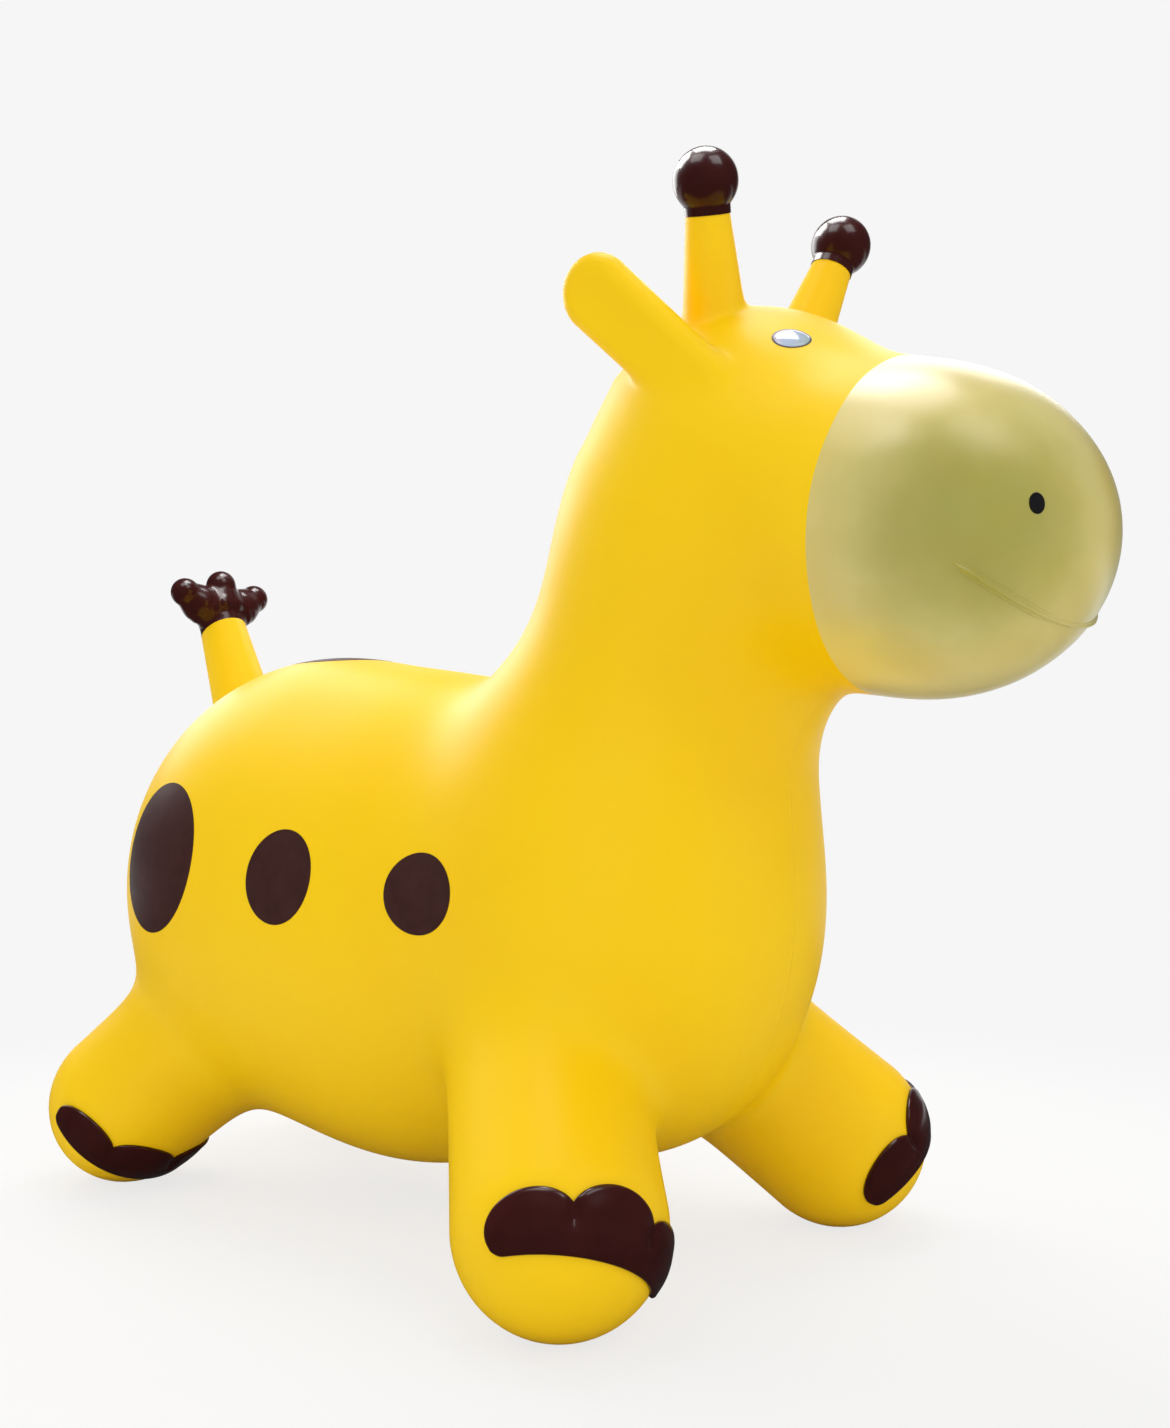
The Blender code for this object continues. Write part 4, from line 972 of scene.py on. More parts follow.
class Workshop:
    """Makes pieces and hands them to the frame."""

    # Middle of the muzzle's painted shade and painted dark reflection, mirrored onto each cheek.
    painted_shade_centre = np.array((0.0582, -0.1552, 0.3247))
    eye_front = -0.0730
    eye_back = -0.0585

    def __init__(self, anatomy: Anatomy) -> None:
        low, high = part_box("air_plug")
        self.shift = np.array((0.0, (low.y + high.y) / 2.0 - PLUG_BACK, 0.0))
        self.anatomy = anatomy
        self.made: dict[str, bpy.types.Object] = {}
        finishes = {
            Finish.SKIN: SkinFinish(),
            Finish.MUZZLE: PearlFinish(tuple(self.painted_shade_centre + self.shift)),
            Finish.GLOSS: GlossFinish(),
            Finish.SPOT: PaintFinish("brown_film", (0.050, 0.0110, 0.0088), (0.062, 0.0160, 0.0130), 0.46),
            Finish.EYE: EyeFinish(self.shift[1] + self.eye_front, self.shift[1] + self.eye_back),
            Finish.EYE_RIM: PaintFinish("eye_rim", (0.085, 0.085, 0.110), (0.12, 0.12, 0.15), 0.35),
            Finish.NOSTRIL: PaintFinish("black_film", (0.0075, 0.0068, 0.0085), (0.011, 0.010, 0.012), 0.30),
            Finish.PLUG: PaintFinish("white_pvc", (0.78, 0.78, 0.76), (0.74, 0.74, 0.71), 0.40),
        }
        self.finishes = {finish: made.make() for finish, made in finishes.items()}

    def piece(self, name: str, mesh: bpy.types.Mesh, finish: Finish, nodes: Sequence[str],
              body: str = "skin", normals: np.ndarray | None = None, crease: float | None = None) -> None:
        """Adds a finished piece.

        Args:
            name: Name of the piece.
            mesh: Its mesh, in the body's own coordinates.
            finish: Its finish.
            nodes: CAD nodes that it stands for.
            body: CAD body that it rides on.
            normals: One normal a point, where the surface's own are better than the mesh's.
            crease: Angle in degrees from which edges are sharp.
        """
        mesh.transform(Matrix.Translation(Vector(self.shift)))
        mesh.materials.clear()
        mesh.materials.append(self.finishes[finish])
        mesh.shade_smooth()
        if crease is not None:
            mesh.set_sharp_from_angle(angle=math.radians(crease))
        if normals is not None:
            mesh.normals_split_custom_set_from_vertices(normals.tolist())
        made = placed(name, mesh)
        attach(made, body)
        if nodes:
            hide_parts(*nodes)
        self.made[name] = made
        LOG.info("%s: %d faces", name, len(mesh.polygons))

    def solid(self, name: str, shape: Shape, finish: Finish, nodes: Sequence[str], body: str = "skin",
              crease: float = 35.0) -> None:
        """A piece from points and faces, with its normals turned outwards."""
        mesh = Blocks.mesh(name, *shape)
        work = bmesh.new()
        work.from_mesh(mesh)
        bmesh.ops.recalc_face_normals(work, faces=work.faces)
        work.to_mesh(mesh)
        work.free()
        self.piece(name, mesh, finish, nodes, body, crease=crease)


@dataclass
class Skin:
    """The whole moulded skin, parted into pieces that share their borders and normals."""

    shop: Workshop
    cell: float = 0.0034

    def build(self) -> None:
        """Makes every section of the skin."""
        anatomy = self.shop.anatomy
        planes = ((anatomy.paint_point, anatomy.muzzle_axis), (anatomy.tail_top, anatomy.tail_paint_axis))
        shape = Blocks.blown("skin", anatomy.skin, self.cell, planes, (anatomy.fine, anatomy.finest))
        points, _ = shape
        points[:, 2] = np.maximum(points[:, 2], 0.0)
        normals = anatomy.skin.normals(points)
        names = anatomy.region(Blocks.middles(shape))
        for name in sorted(set(names) - {""}):
            mesh, used = Blocks.part(f"{name}_skin", shape, names == name)
            finish = Finish.MUZZLE if name == "muzzle" else Finish.SKIN
            self.shop.piece(f"{name}_skin", mesh, finish, [name], normals=normals[used])


@dataclass(frozen=True)
class Oval:
    """Oval patch on the skin, such as a painted spot."""

    seat: np.ndarray
    outward: np.ndarray
    half_wide: float
    half_tall: float
    lean: float = 0.0
    steep: float = 0.9
    smallest: float = 0.002

    def edge(self, share: float, sides: int) -> np.ndarray:
        """Flat edge at a share of the oval's size. Lean turns its top towards the front, in degrees."""
        up = square_to(AHEAD if abs(self.outward[2]) > self.steep else UP, self.outward)
        across = np.cross(up, self.outward)
        across = across * (-1.0 if across[1] < 0.0 else 1.0)
        lean = math.radians(self.lean)
        up, across = swung(up, across, -lean), swung(across, up, lean)
        return self.seat + share * ring(self.half_wide * across, self.half_tall * up, sides)

    def dome(self, surface: Surface, profile: Sequence[tuple[float, float]], sides: int) -> Shape:
        """Patch that follows the surface: share and height pairs from its rim to its middle."""
        rings = [surface.settle(self.edge(max(share, self.smallest), sides), height)
                 for share, height in profile]
        faces = Blocks.grid_faces(len(rings), sides, wrap=True)
        faces.append(tuple((len(rings) - 1) * sides + index for index in range(sides)))
        return np.concatenate(rings), faces


@dataclass
class Paint:
    """Spots, eyes and nostrils."""

    shop: Workshop
    film: float = 0.00018
    sunk: float = -0.0003
    rim_edge: float = 0.0001
    rim_tall: float = 0.0003
    lens_sunk: float = -0.0002
    lens_foot: float = 0.0002
    lens_tall: float = 0.0010
    lens_reach: float = 0.91
    # How far the lens drops in its outline, so the dark outline shows wider at the top as painted shade.
    lens_lower_for_painted_shade: float = 0.0004

    def flat(self, patch: Oval, sides: int) -> Shape:
        """Film of even thickness, whose edge goes down into the skin."""
        profile = [(1.0, self.sunk)] + [(tenth / 10.0, self.film) for tenth in range(10, -1, -1)]
        return patch.dome(self.shop.anatomy.skin, profile, sides)

    def eye(self, side: int, word: str) -> None:
        """Makes an eye's dark outline and the domed lens within it."""
        anatomy = self.shop.anatomy
        surface = anatomy.skin
        seat = surface.seat(anatomy.skull, heading(turn=side * 40.4, rise=34.5))
        eye = Oval(*seat, half_wide=0.0085, half_tall=0.0076)
        rim = [(1.0, self.sunk), (1.0, self.rim_edge), (0.96, self.rim_tall), (0.80, self.rim_tall)]
        self.shop.solid(f"eye_{word}_outline", eye.dome(surface, rim, sides=64), Finish.EYE_RIM, [])
        lens = [(0.90, self.lens_sunk)]
        for share in (0.90, 0.86, 0.78, 0.68, 0.54, 0.4, 0.25, 0.1, 0.0):
            fullness = math.sqrt(1.0 - (share / self.lens_reach) ** 2)
            lens.append((share, self.lens_foot + self.lens_tall * fullness))
        # The lens sits lower in its dark outline, so the outline shows wider at the top: painted shade of a
        # sunken eye's upper wall.
        inset = replace(eye, seat=eye.seat - UP * self.lens_lower_for_painted_shade)
        self.shop.solid(f"eye_{word}_lens", inset.dome(surface, lens, sides=64), Finish.EYE, [f"eye_{word}"])

    def build(self) -> None:
        """Makes all paint."""
        anatomy = self.shop.anatomy
        surface = anatomy.skin
        # Name, middle of its form, turn, rise, half width, half height and lean of each spot.
        spots = (("rump", anatomy.rump, 93.5, 8.5, 0.0375, 0.0420, 4.0),
                 ("flank", anatomy.belly, 88.0, 13.5, 0.0215, 0.0240, 8.0),
                 ("shoulder", anatomy.chest, 112.0, 5.0, 0.0215, 0.0192, 0.0))
        for side, word in SIDES:
            for place, middle, turn, rise, half_wide, half_tall, lean in spots:
                patch = Oval(*surface.seat(middle, heading(side * turn, rise)), half_wide, half_tall, lean)
                self.shop.solid(f"spot_{place}_{word}_film", self.flat(patch, sides=72), Finish.SPOT,
                                [f"spot_{place}_{word}"])
            seat = surface.seat(anatomy.muzzle, heading(turn=side * 31.4, rise=0.0))
            nostril = self.flat(Oval(*seat, half_wide=0.0034, half_tall=0.0041), sides=48)
            self.shop.solid(f"nostril_{word}_film", nostril, Finish.NOSTRIL, [f"nostril_{word}"])
            self.eye(side, word)
        seat = surface.seat(anatomy.rump, heading(turn=0.0, rise=87.0))
        back = self.flat(Oval(*seat, half_wide=0.0310, half_tall=0.0310), sides=72)
        self.shop.solid("spot_back_film", back, Finish.SPOT, ["spot_back"])


@dataclass
class Smile:
    """Smile line moulded on the muzzle: a ridge between two fine lips, swept along its path."""

    shop: Workshop
    half: float = 0.0023
    ridge_tall: float = 0.00145
    ridge_wide: float = 0.00110
    lip_tall: float = 0.00024
    lip_wide: float = 0.00030
    lip_away: float = 0.00175
    base: float = 0.00004
    drop: float = 0.00030
    drop_start: float = 0.86
    points_across: int = 41

    def build(self) -> None:
        """Makes the line."""
        points, outward, fullness = self.shop.anatomy.smile()
        guide = bpy.data.meshes.new("smile")
        guide.from_pydata(points.tolist(), [(place, place + 1) for place in range(len(points) - 1)], [])
        guide.attributes.new("outward", "FLOAT_VECTOR", "POINT").data.foreach_set("vector", outward.ravel())
        guide.attributes.new("fullness", "FLOAT", "POINT").data.foreach_set("value", fullness)
        tree = Growth("smile_line", self.shop.finishes[Finish.MUZZLE], Half=self.half, Ridge=self.ridge_tall,
                      Width=self.ridge_wide, Lip=self.lip_tall, Fine=self.lip_wide, Away=self.lip_away,
                      Base=self.base, Drop=self.drop)
        path = tree.out("GeometryNodeMeshToCurve", Mesh=tree.size("Guide"))
        path = tree.out("GeometryNodeSetCurveNormal", {"mode": "FREE"}, Curve=path,
                        Normal=tree.attribute("outward", "FLOAT_VECTOR"))
        line = tree.out("GeometryNodeCurvePrimitiveLine", Start=(0.0, -1.0, 0.0), End=(0.0, 1.0, 0.0))
        line = tree.out("GeometryNodeResampleCurve", Curve=line, Count=self.points_across)
        share = tree.axis(tree.out("GeometryNodeInputPosition"), "Y")
        across = share * tree.size("Half")
        lips = ((across.size() - tree.size("Away")) / tree.size("Fine")).bell()
        height = tree.size("Ridge") * (across / tree.size("Width")).bell() + tree.size("Base")
        height = height + tree.size("Lip") * lips
        height = height - tree.size("Drop") * share.size().step(self.drop_start, 1.0)
        profile = tree.out("GeometryNodeSetPosition", Geometry=line,
                           Position=tree.out("ShaderNodeCombineXYZ", X=height, Y=across))
        ridge = tree.out("GeometryNodeCurveToMesh", Curve=path, Profile_Curve=profile,
                         Scale=tree.attribute("fullness", "FLOAT"))
        mesh = tree.grow(guide, ridge)
        self.shop.piece("muzzle_smile_line", mesh, Finish.MUZZLE, [])


@dataclass(frozen=True)
class FootPlan:
    """How the pads lie on a foot, in degrees: the sole's lean and turn, the toe's turn, the pads' start."""

    sole_lean: float
    sole_turn: float
    toe_turn: float
    pad_start: float


@dataclass(frozen=True)
class Hoof:
    """Three raised pads side by side round the front of a foot, with a bevel inside their edge."""

    shop: Workshop
    end: str
    side: int
    word: str
    plan: FootPlan
    columns: int = 44
    rows: int = 48
    tall: float = 0.0295
    shoulder: float = 0.0160
    end_lift: float = 0.0104
    half_wide: float = 0.0205
    corner: float = 0.0048
    edge: float = 0.0008
    crown: float = 0.0015
    bevel: float = 0.0026
    dome: float = 0.0005
    cleft_deep: float = 0.0028
    cleft_wide: float = 0.0021
    cleft_start: float = 0.30
    cleft_end: float = 0.74
    dome_reach: float = 0.010
    past_shoulder: float = 0.002
    past_ends: float = 0.0004
    sunk: float = -0.0010
    ring_share: float = 0.9
    step: float = math.radians(53.0) * Anatomy.front_foot_radius * ring_share

    @property
    def middles(self) -> tuple[float, float, float]:
        """Distances of the pads' middles along the hoof."""
        return -self.step, 0.0, self.step

    def outline(self, reach: float) -> tuple[float, float]:
        """Lowest and highest arc of the hoof at a distance along it from its middle."""
        away = min(abs(reach - middle) for middle in self.middles)
        bow = math.sqrt(max(0.0, 1.0 - (away / self.half_wide) ** 2))
        past = max(0.0, abs(reach) - (self.step + self.half_wide - self.corner))
        lowest = self.corner - math.sqrt(max(0.0, self.corner ** 2 - past ** 2))
        lowest += self.end_lift * (reach / (self.step + self.half_wide)) ** 2
        return lowest, self.shoulder + (self.tall - self.shoulder) * bow

    def inset(self, reach: float, arc: float) -> float:
        """Distance of a place on the hoof from its edge."""
        lowest, _ = self.outline(reach)
        upper = self.tall - self.shoulder
        inside = 0.0
        for middle in self.middles:
            away = (reach - middle) / self.half_wide
            rise = max(0.0, arc - self.shoulder) / upper
            slope = math.hypot(away / self.half_wide, rise / upper)
            reach_out = math.hypot(away, rise)
            inside = max(inside, (1.0 - reach_out) * reach_out / slope if slope > 1e-6 else self.half_wide)
        ends = self.step + self.half_wide - abs(reach)
        if arc < self.shoulder:
            inside = max(inside, min(ends, self.shoulder - arc + self.past_shoulder))
        return min(inside, arc - lowest, max(ends, 0.0) + self.past_ends)

    def height(self, reach: float, arc: float) -> float:
        """Height of the pads' face over the skin."""
        inside = max(0.0, self.inset(reach, arc))
        share = min(1.0, inside / self.bevel)
        height = self.edge + self.crown * math.sqrt(1.0 - (1.0 - share) ** 2)
        height += self.dome * float(ease(inside, self.bevel, self.dome_reach))
        start, end = self.cleft_start * self.tall, self.cleft_end * self.tall
        for middle in (-self.step / 2.0, self.step / 2.0):
            depth = self.cleft_deep * math.exp(-((reach - middle) / self.cleft_wide) ** 2)
            height -= depth * float(ease(arc, start, end)) * share
        return height

    def stations(self) -> list[float]:
        """Distances along the hoof, closer together at the clefts and ends."""
        ends = (-self.step - self.half_wide, -self.step / 2.0, self.step / 2.0, self.step + self.half_wide)
        places: list[float] = []
        for low, high in zip(ends, ends[1:]):
            turns = np.linspace(-math.pi / 2.0, math.pi / 2.0, self.columns + 1)
            run = (low + high) / 2.0 + np.sin(turns) * (high - low) / 2.0
            places.extend(run if not places else run[1:])
        return places

    def build(self) -> None:
        """Makes the hoof."""
        anatomy, plan = self.shop.anatomy, self.plan
        leg = anatomy.legs[f"{self.end}_{self.word}"]
        foot, foot_radius = leg.end, leg.end_radius
        sole = heading(self.side * plan.sole_turn, plan.sole_lean - 90.0)
        ahead = square_to(AHEAD, sole)
        out = np.cross(ahead, sole)
        out = out * (1.0 if out[0] * self.side > 0.0 else -1.0)
        turn = math.radians(plan.toe_turn)
        toe, aside = swung(ahead, out, turn), swung(out, ahead, -turn)
        outer, levels = [], []
        stations = self.stations()
        for reach in stations:
            lowest, highest = self.outline(reach)
            level = swung(toe, aside, reach / (foot_radius * self.ring_share))
            for row in range(self.rows):
                arc = lowest + (highest - lowest) * (1.0 - math.cos(math.pi * row / (self.rows - 1))) / 2.0
                tilt = math.radians(plan.pad_start) + arc / foot_radius
                outer.append(foot + foot_radius * swung(sole, level, tilt))
                levels.append(self.height(reach, arc))
        face = anatomy.bare.settle(np.array(outer), np.array(levels))
        back = anatomy.bare.settle(np.array(outer), self.sunk)
        count, columns = len(outer), len(stations)
        faces = Blocks.grid_faces(columns, self.rows)
        faces += [tuple(index + count for index in face[::-1]) for face in faces]
        rim = list(range(self.rows))
        rim += [column * self.rows + self.rows - 1 for column in range(1, columns)]
        rim += [(columns - 1) * self.rows + row for row in range(self.rows - 2, -1, -1)]
        rim += [column * self.rows for column in range(columns - 2, 0, -1)]
        for here, following in zip(rim, rim[1:] + rim[:1]):
            faces.append((here, following, following + count, here + count))
        name = f"hoof_{self.end}_{self.word}"
        self.shop.solid(name + "_pads", (np.concatenate((face, back)), faces), Finish.GLOSS, [name])


@dataclass
class Knobs:
    """Glossy balls on the horns."""

    shop: Workshop
    fillet: float = 0.0018
    paint: float = 0.00025
    inside: float = 0.0020
    fillet_steps: int = 8
    ball_steps: int = 44
    sides: int = 72
    crease: float = 40.0

    def build(self) -> None:
        """Makes both balls with their painted collars."""
        anatomy = self.shop.anatomy
        for word, horn in anatomy.horns.items():
            radius, middle = anatomy.knob_radius + self.paint, anatomy.horn_tall
            collar = horn.top_radius + self.paint
            across = collar + self.fillet
            below = math.sqrt((radius + self.fillet) ** 2 - across ** 2)
            start = math.asin(across / (radius + self.fillet))
            low = middle - below
            profile = [(collar - self.inside, horn.long), (collar, horn.long), (collar, low)]
            for turn in np.linspace(0.0, math.pi / 2.0 - start, self.fillet_steps)[1:]:
                profile.append((across - self.fillet * math.cos(turn), low + self.fillet * math.sin(turn)))
            for turn in np.linspace(math.pi - start, 0.0, self.ball_steps)[1:]:
                profile.append((radius * math.sin(turn), middle + radius * math.cos(turn)))
            shape = Blocks.turned(profile, horn.seat, horn.axis, self.sides)
            self.shop.solid(f"horn_knob_{word}_ball", shape, Finish.GLOSS, [f"horn_knob_{word}"],
                            crease=self.crease)


@dataclass
class Tuft:
    """Glossy tuft of lobes on the tail."""

    shop: Workshop
    cell: float = 0.0011
    softness: float = 0.0012
    waist_tall: float = 0.0090
    waist_radius: float = 0.0104
    belly_share: float = 0.56
    lobe_share: float = 0.92
    front_share: float = 0.8

    def lobe(self, waist: np.ndarray, tip: np.ndarray, belly: float, end: float) -> tuple[Limb, Limb]:
        """A leaf-shaped lobe, fullest about half way."""
        middle = waist + (tip - waist) * self.belly_share
        start = self.waist_radius * self.lobe_share
        return Limb(waist, middle, start, belly), Limb(middle, tip, belly, end)

    def lobes(self) -> tuple[Limb, ...]:
        """The tail's end and the lobes that grow from it."""
        anatomy = self.shop.anatomy
        tail, foot = anatomy.tail, anatomy.tail_top
        ahead = square_to(AHEAD, tail.axis)

        def place(out: float, tall: float, forward: float) -> np.ndarray:
            """Point at distances from the middle of the paint line."""
            return foot + tail.axis * tall + ahead * forward + np.array((out, 0.0, 0.0))

        waist = place(out=0.0, tall=self.waist_tall, forward=0.0)
        lobes = [tail.limb(root=-0.5 * tail.long, past=0.0045),
                 *self.lobe(waist, place(out=0.0, tall=0.0290, forward=0.0090), belly=0.0116, end=0.0092)]
        for side, _ in SIDES:
            tip = place(out=side * 0.0262, tall=0.0232, forward=0.0055)
            lobes += self.lobe(waist, tip, belly=0.0120, end=0.0090)
            front = place(out=side * 0.0040, tall=0.0140, forward=0.0118)
            lobes.append(Limb(waist, front, self.waist_radius * self.front_share, end_radius=0.0052))
        return tuple(lobes)

    def build(self) -> None:
        """Makes the tuft."""
        anatomy = self.shop.anatomy
        foot, axis = anatomy.tail_top, anatomy.tail_paint_axis
        surface = Surface(SoftUnion(self.lobes(), self.softness))
        shape = Blocks.blown("tuft", surface, self.cell, ((foot, axis),))
        mesh, used = Blocks.part("tail_tuft_lobes", shape, (Blocks.middles(shape) - foot) @ axis > 0.0)
        self.shop.piece("tail_tuft_lobes", mesh, Finish.GLOSS, ["tail_tuft"],
                        normals=surface.normals(shape[0][used]))


@dataclass
class Valve:
    """Air valve under the belly and its ribbed plug."""

    shop: Workshop
    bore: float = 0.0046
    tube: float = 0.0078
    flange: float = 0.0125
    flange_top: float = -0.0070
    flange_under: float = -0.0050
    tube_top: float = -0.016
    tube_foot: float = 0.0006
    tube_corner: float = 0.0004
    stem_top: float = -0.0145
    tip_radius: float = 0.0031
    stem_radius: float = 0.0040
    head: float = 0.0009
    head_radius: float = 0.0072
    head_edge: float = 0.0010
    head_tall: float = 0.0018
    face_radius: float = 0.0064
    dent_radius: float = 0.0030
    dent_floor: float = 0.0024
    dent_up: float = 0.0013
    plug_corner: float = 0.0003
    sides: int = 48
    hoop_sides: int = 40
    bead_sides: int = 12
    rib_step: float = 0.003625
    rib_radius: float = 0.0036
    rib_taper: float = 0.055
    rib_bead: float = 0.0006

    def build(self) -> None:
        """Makes the seat and the plug."""
        anatomy = self.shop.anatomy
        seat, _ = anatomy.bare.seat(np.array((0.0, PLUG_BACK, anatomy.belly[2])), DOWN)
        wall = [(self.bore, self.tube_top), (self.bore, self.tube_foot), (self.tube, self.tube_foot),
                (self.tube, self.flange_under), (self.flange, self.flange_under),
                (self.flange, self.flange_top), (self.tube, self.flange_top), (self.tube, self.tube_top),
                (self.bore, self.tube_top)]
        points, faces = Blocks.turned(Blocks.rounded(wall, self.tube_corner), seat, DOWN, self.sides)
        self.shop.solid("valve_seat_ring", (points, faces[:-2]), Finish.SKIN, ["valve_seat"])
        head, under, dent = self.head, self.head + self.head_tall, self.head + self.dent_up
        stem = [(0.0, self.stem_top), (self.tip_radius, self.stem_top), (self.stem_radius, head),
                (self.head_radius, head), (self.head_radius, head + self.head_edge),
                (self.face_radius, under), (self.dent_radius, under), (self.dent_floor, dent), (0.0, dent)]
        shape = Blocks.turned(Blocks.rounded(stem, self.plug_corner), seat, DOWN, self.sides)
        self.shop.solid("air_plug_moulding", shape, Finish.PLUG, ["air_plug"], body="plug")
        self.ribs(seat + DOWN * (head - self.rib_step))

    def ribs(self, lowest: np.ndarray) -> None:
        """Makes the plug's ribs, from the lowest one up, each smaller than the one below."""
        tree = Growth("plug_ribs", self.shop.finishes[Finish.PLUG], Count=3, Step=self.rib_step,
                      Radius=self.rib_radius, Taper=self.rib_taper, Bead=self.rib_bead)
        step = tree.out("ShaderNodeCombineXYZ", Z=tree.size("Step"))
        places = tree.out("GeometryNodeMeshLine", Count=tree.size("Count"), Offset=step)
        hoop = tree.out("GeometryNodeCurvePrimitiveCircle", Resolution=self.hoop_sides,
                        Radius=tree.size("Radius"))
        bead = tree.out("GeometryNodeCurvePrimitiveCircle", Resolution=self.bead_sides,
                        Radius=tree.size("Bead"))
        rib = tree.out("GeometryNodeCurveToMesh", Curve=hoop, Profile_Curve=bead)
        scale = 1.0 - tree.out("GeometryNodeInputIndex") * tree.size("Taper")
        ribs = tree.out("GeometryNodeInstanceOnPoints", Points=places, Instance=rib, Scale=scale)
        mesh = tree.grow(bpy.data.meshes.new("plug_ribs"), ribs)
        mesh.transform(Matrix.Translation(Vector(lowest)))
        self.shop.piece("air_plug_ribs", mesh, Finish.PLUG, [], body="plug")


@dataclass
class Studio:
    """Camera, floor and lights, placed from the body's origin. Behind is the level direction of view."""

    shop: Workshop
    focal_px: float = 1514.09
    frame_tall_px: float = 1428.0
    place: Triple = (-0.5733, -0.41975, 0.230)
    turn: float = -48.4724
    pitch: float = 2.2781
    backdrop: float = 0.922
    surround: float = 0.69
    dark: float = 0.04
    behind: Triple = (0.748, 0.6635, 0.0)
    white: Colour = (1.0, 1.0, 1.0)
    sensor: float = 36.0
    clip_start: float = 0.01
    floor_half: float = 6.0
    floor_up: float = -0.0003
    floor_grey: float = 0.84
    floor_glow: float = 0.82
    fade_start: float = 0.30
    fade_end: float = 0.75
    aim: Triple = (0.0, 0.0, 0.35)
    sparkle_aim: Triple = (0.0, 0.1, 0.35)
    sparkle_size: float = 0.62
    gloss: tuple[str, ...] = ("tail_tuft", "hoof", "knob")

    def camera(self) -> None:
        """Camera at the photograph's viewpoint."""
        data = bpy.data.cameras.new("camera")
        data.sensor_fit = "AUTO"
        data.sensor_width = self.sensor
        data.lens = self.focal_px * self.sensor / self.frame_tall_px
        data.clip_start = self.clip_start
        camera = placed("camera", data)
        camera.location = Vector(np.array(self.place) + self.shop.shift)
        camera.rotation_euler = (math.pi / 2.0 + math.radians(self.pitch), 0.0, math.radians(self.turn))
        bpy.context.scene.camera = camera

    def sheen(self, tree: Graph, way: Val, start: float) -> Val:
        """Brightness that glossy surfaces mirror: the backdrop's behind the object, and dark elsewhere.

        Args:
            tree: Tree of the world or of the floor.
            way: Direction or place that is mirrored.
            start: Part of it along the view from which the backdrop's light comes in.

        Returns:
            The brightness.
        """
        along = tree.out("ShaderNodeVectorMath", {"operation": "DOT_PRODUCT"}, output="Value", Vector=way)
        tree.feed(along.socket.node.inputs[1], self.behind)
        return self.dark + (self.backdrop - self.dark) * along.step(start, 0.99)

    def world(self) -> None:
        """White surround behind the object, and an even light from all round."""
        world = bpy.data.worlds.new("studio")
        world.use_nodes = True
        bpy.context.scene.world = world
        world.node_tree.nodes.clear()
        tree = Graph(world.node_tree)
        mirrored_light = self.sheen(tree, tree.out("ShaderNodeTexCoord", output="Generated"), start=0.70)
        seen, around, sheen = (tree.out("ShaderNodeBackground", Color=self.white, Strength=strength)
                               for strength in (self.backdrop, self.surround, mirrored_light))
        light = tree.for_rays("Is Glossy Ray", around, sheen)
        tree.node("ShaderNodeOutputWorld", Surface=tree.for_rays("Is Camera Ray", light, seen))

    def floor(self) -> None:
        """Pale floor that fades into the backdrop away from the object."""
        corners = np.array(((-1, -1, 0), (1, -1, 0), (1, 1, 0), (-1, 1, 0))) * self.floor_half
        mesh = Blocks.mesh("floor", corners, [(0, 1, 2, 3)])
        floor = placed("floor", mesh)
        floor.location.z = self.floor_up
        shader = Shader("floor")
        shader.set(Base_Color=(self.floor_grey,) * 3, Roughness=0.9, Specular_IOR_Level=0.0)
        away = shader.out("ShaderNodeVectorMath", {"operation": "LENGTH"}, output="Value",
                          Vector=shader.place)
        faded = self.floor_glow + (1.0 - self.floor_glow) * away.step(self.fade_start, self.fade_end)
        seen = shader.out("ShaderNodeEmission", Color=(self.backdrop,) * 3, Strength=1.0)
        sheen = shader.out("ShaderNodeEmission", Color=self.white,
                           Strength=self.sheen(shader, shader.place, start=0.65))
        light = shader.for_rays("Is Camera Ray", Val(shader, shader.main.outputs[0]), seen, faded)
        light = shader.for_rays("Is Glossy Ray", light, sheen)
        shader.feed(shader.nodes["Material Output"].inputs["Surface"], light)
        mesh.materials.append(shader.material)

    def lamp(self, name: str, place: Triple, aim: Triple, size: tuple[float, float], watts: float,
             mirrored_light: bool = True) -> bpy.types.Object:
        """Rectangular soft light aimed at a point.

        Args:
            name: Name of the lamp.
            place: Where it stands.
            aim: Point that it faces.
            size: Its two sides.
            watts: Its power.
            mirrored_light: Whether glossy surfaces mirror it.

        Returns:
            The lamp.
        """
        data = bpy.data.lights.new(name, "AREA")
        data.shape = "RECTANGLE"
        data.size, data.size_y = size
        data.energy = watts
        lamp = placed(name, data)
        lamp.location = Vector(np.array(place) + self.shop.shift)
        lamp.rotation_euler = (Vector(aim) - Vector(place)).to_track_quat("-Z", "Y").to_euler()
        lamp.visible_glossy = mirrored_light
        lamp.visible_camera = False
        return lamp

    def choose(self, lamp: bpy.types.Object, words: Sequence[str], state: str) -> None:
        """Lets a lamp light only the pieces whose names hold one of some words, or all but them."""
        group = bpy.data.collections.new(f"{lamp.name}_pieces")
        for name, piece in self.shop.made.items():
            if any(word in name for word in words):
                group.objects.link(piece)
        lamp.light_linking.receiver_collection = group
        for entry in group.collection_objects:
            entry.light_linking.link_state = state

    def build(self) -> None:
        """Sets up the whole studio."""
        self.camera()
        self.world()
        self.floor()
        window = self.lamp("window", (0.15, 1.40, 1.00), (0.0, 0.10, 0.25), (1.0, 0.9), 11.0)
        self.choose(window, ("tail_tuft",), "EXCLUDE")
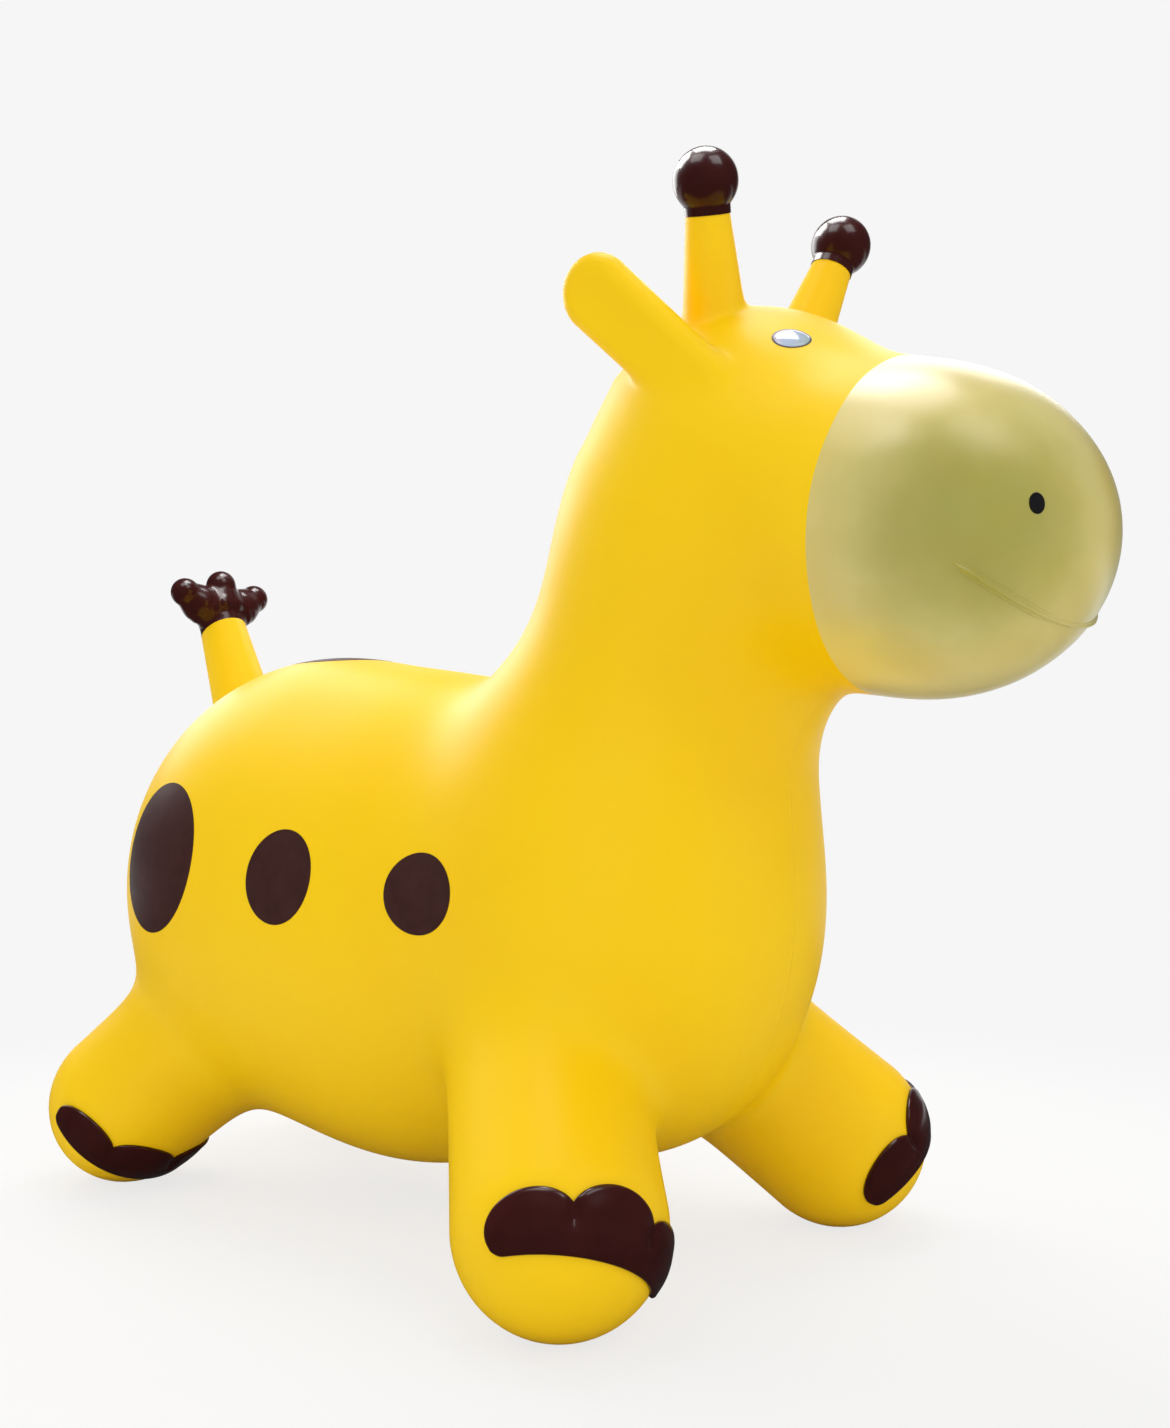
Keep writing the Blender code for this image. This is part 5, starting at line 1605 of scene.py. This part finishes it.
        # Name, place, side and power of each soft lamp, with the power of its sparkle.
        soft_lamps = (
            ("top back", (0.200, 0.220, 1.600), 0.60, 6.5, 16.0),
            ("top left", (-0.620, 0.070, 1.490), 0.35, 1.4, 7.0),
            ("top front", (-0.137, -0.760, 1.420), 0.60, 1.6, 6.0),
            ("back right", (1.04, 0.39, 1.23), 0.80, 5.0, 0.5))
        sparkle_size = (self.sparkle_size, self.sparkle_size)
        for name, place, size, watts, sparkle in soft_lamps:
            soft = self.lamp(name, place, self.aim, (size, size), watts)
            self.choose(soft, self.gloss, "EXCLUDE")
            sharp = self.lamp(f"{name} sparkle", place, self.sparkle_aim, sparkle_size, sparkle)
            self.choose(sharp, self.gloss, "INCLUDE")
        # Word in the pieces' names, place, aim, size and power of each lamp that only glossy paint shows.
        gleams = (
            ("knob", (-0.14, 0.85, 1.41), (0.0, 0.0, 0.48), (0.80, 0.60), 26.0),
            ("tuft", (-0.12, 0.10, 1.50), (0.0, 0.40, 0.36), (0.35, 0.90), 10.0))
        for word, place, aim, size, watts in gleams:
            gleam = self.lamp(f"{word} gleam", place, aim, size, watts)
            gleam.visible_diffuse = False
            self.choose(gleam, (word,), "INCLUDE")
        self.lamp("fill", (-1.5, -0.6, 0.7), (0.0, 0.1, 0.2), (1.4, 1.4), 4.0, mirrored_light=False)
        self.lamp("bounce", (0.2, -1.6, 0.5), (0.0, 0.0, 0.2), (1.2, 1.2), 3.5, mirrored_light=False)
        bpy.context.scene.view_settings.view_transform = "Standard"


def main() -> None:
    """Builds the dressed model over the frame."""
    logging.basicConfig(level=logging.INFO, format="%(name)s: %(message)s")
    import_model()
    shop = Workshop(Anatomy())
    Skin(shop).build()
    Paint(shop).build()
    Smile(shop).build()
    front = FootPlan(sole_lean=51.6, sole_turn=40.8, toe_turn=27.0, pad_start=38.8)
    rear = FootPlan(sole_lean=36.8, sole_turn=164.4, toe_turn=10.0, pad_start=65.8)
    for side, word in SIDES:
        Hoof(shop, "front", side, word, front).build()
        Hoof(shop, "rear", side, word, rear, tall=0.0256, shoulder=0.0140, end_lift=0.0080,
             half_wide=0.0182, step=Hoof.step * 0.89).build()
    Knobs(shop).build()
    Tuft(shop).build()
    Valve(shop).build()
    Studio(shop).build()


if __name__ == "__main__":
    main()
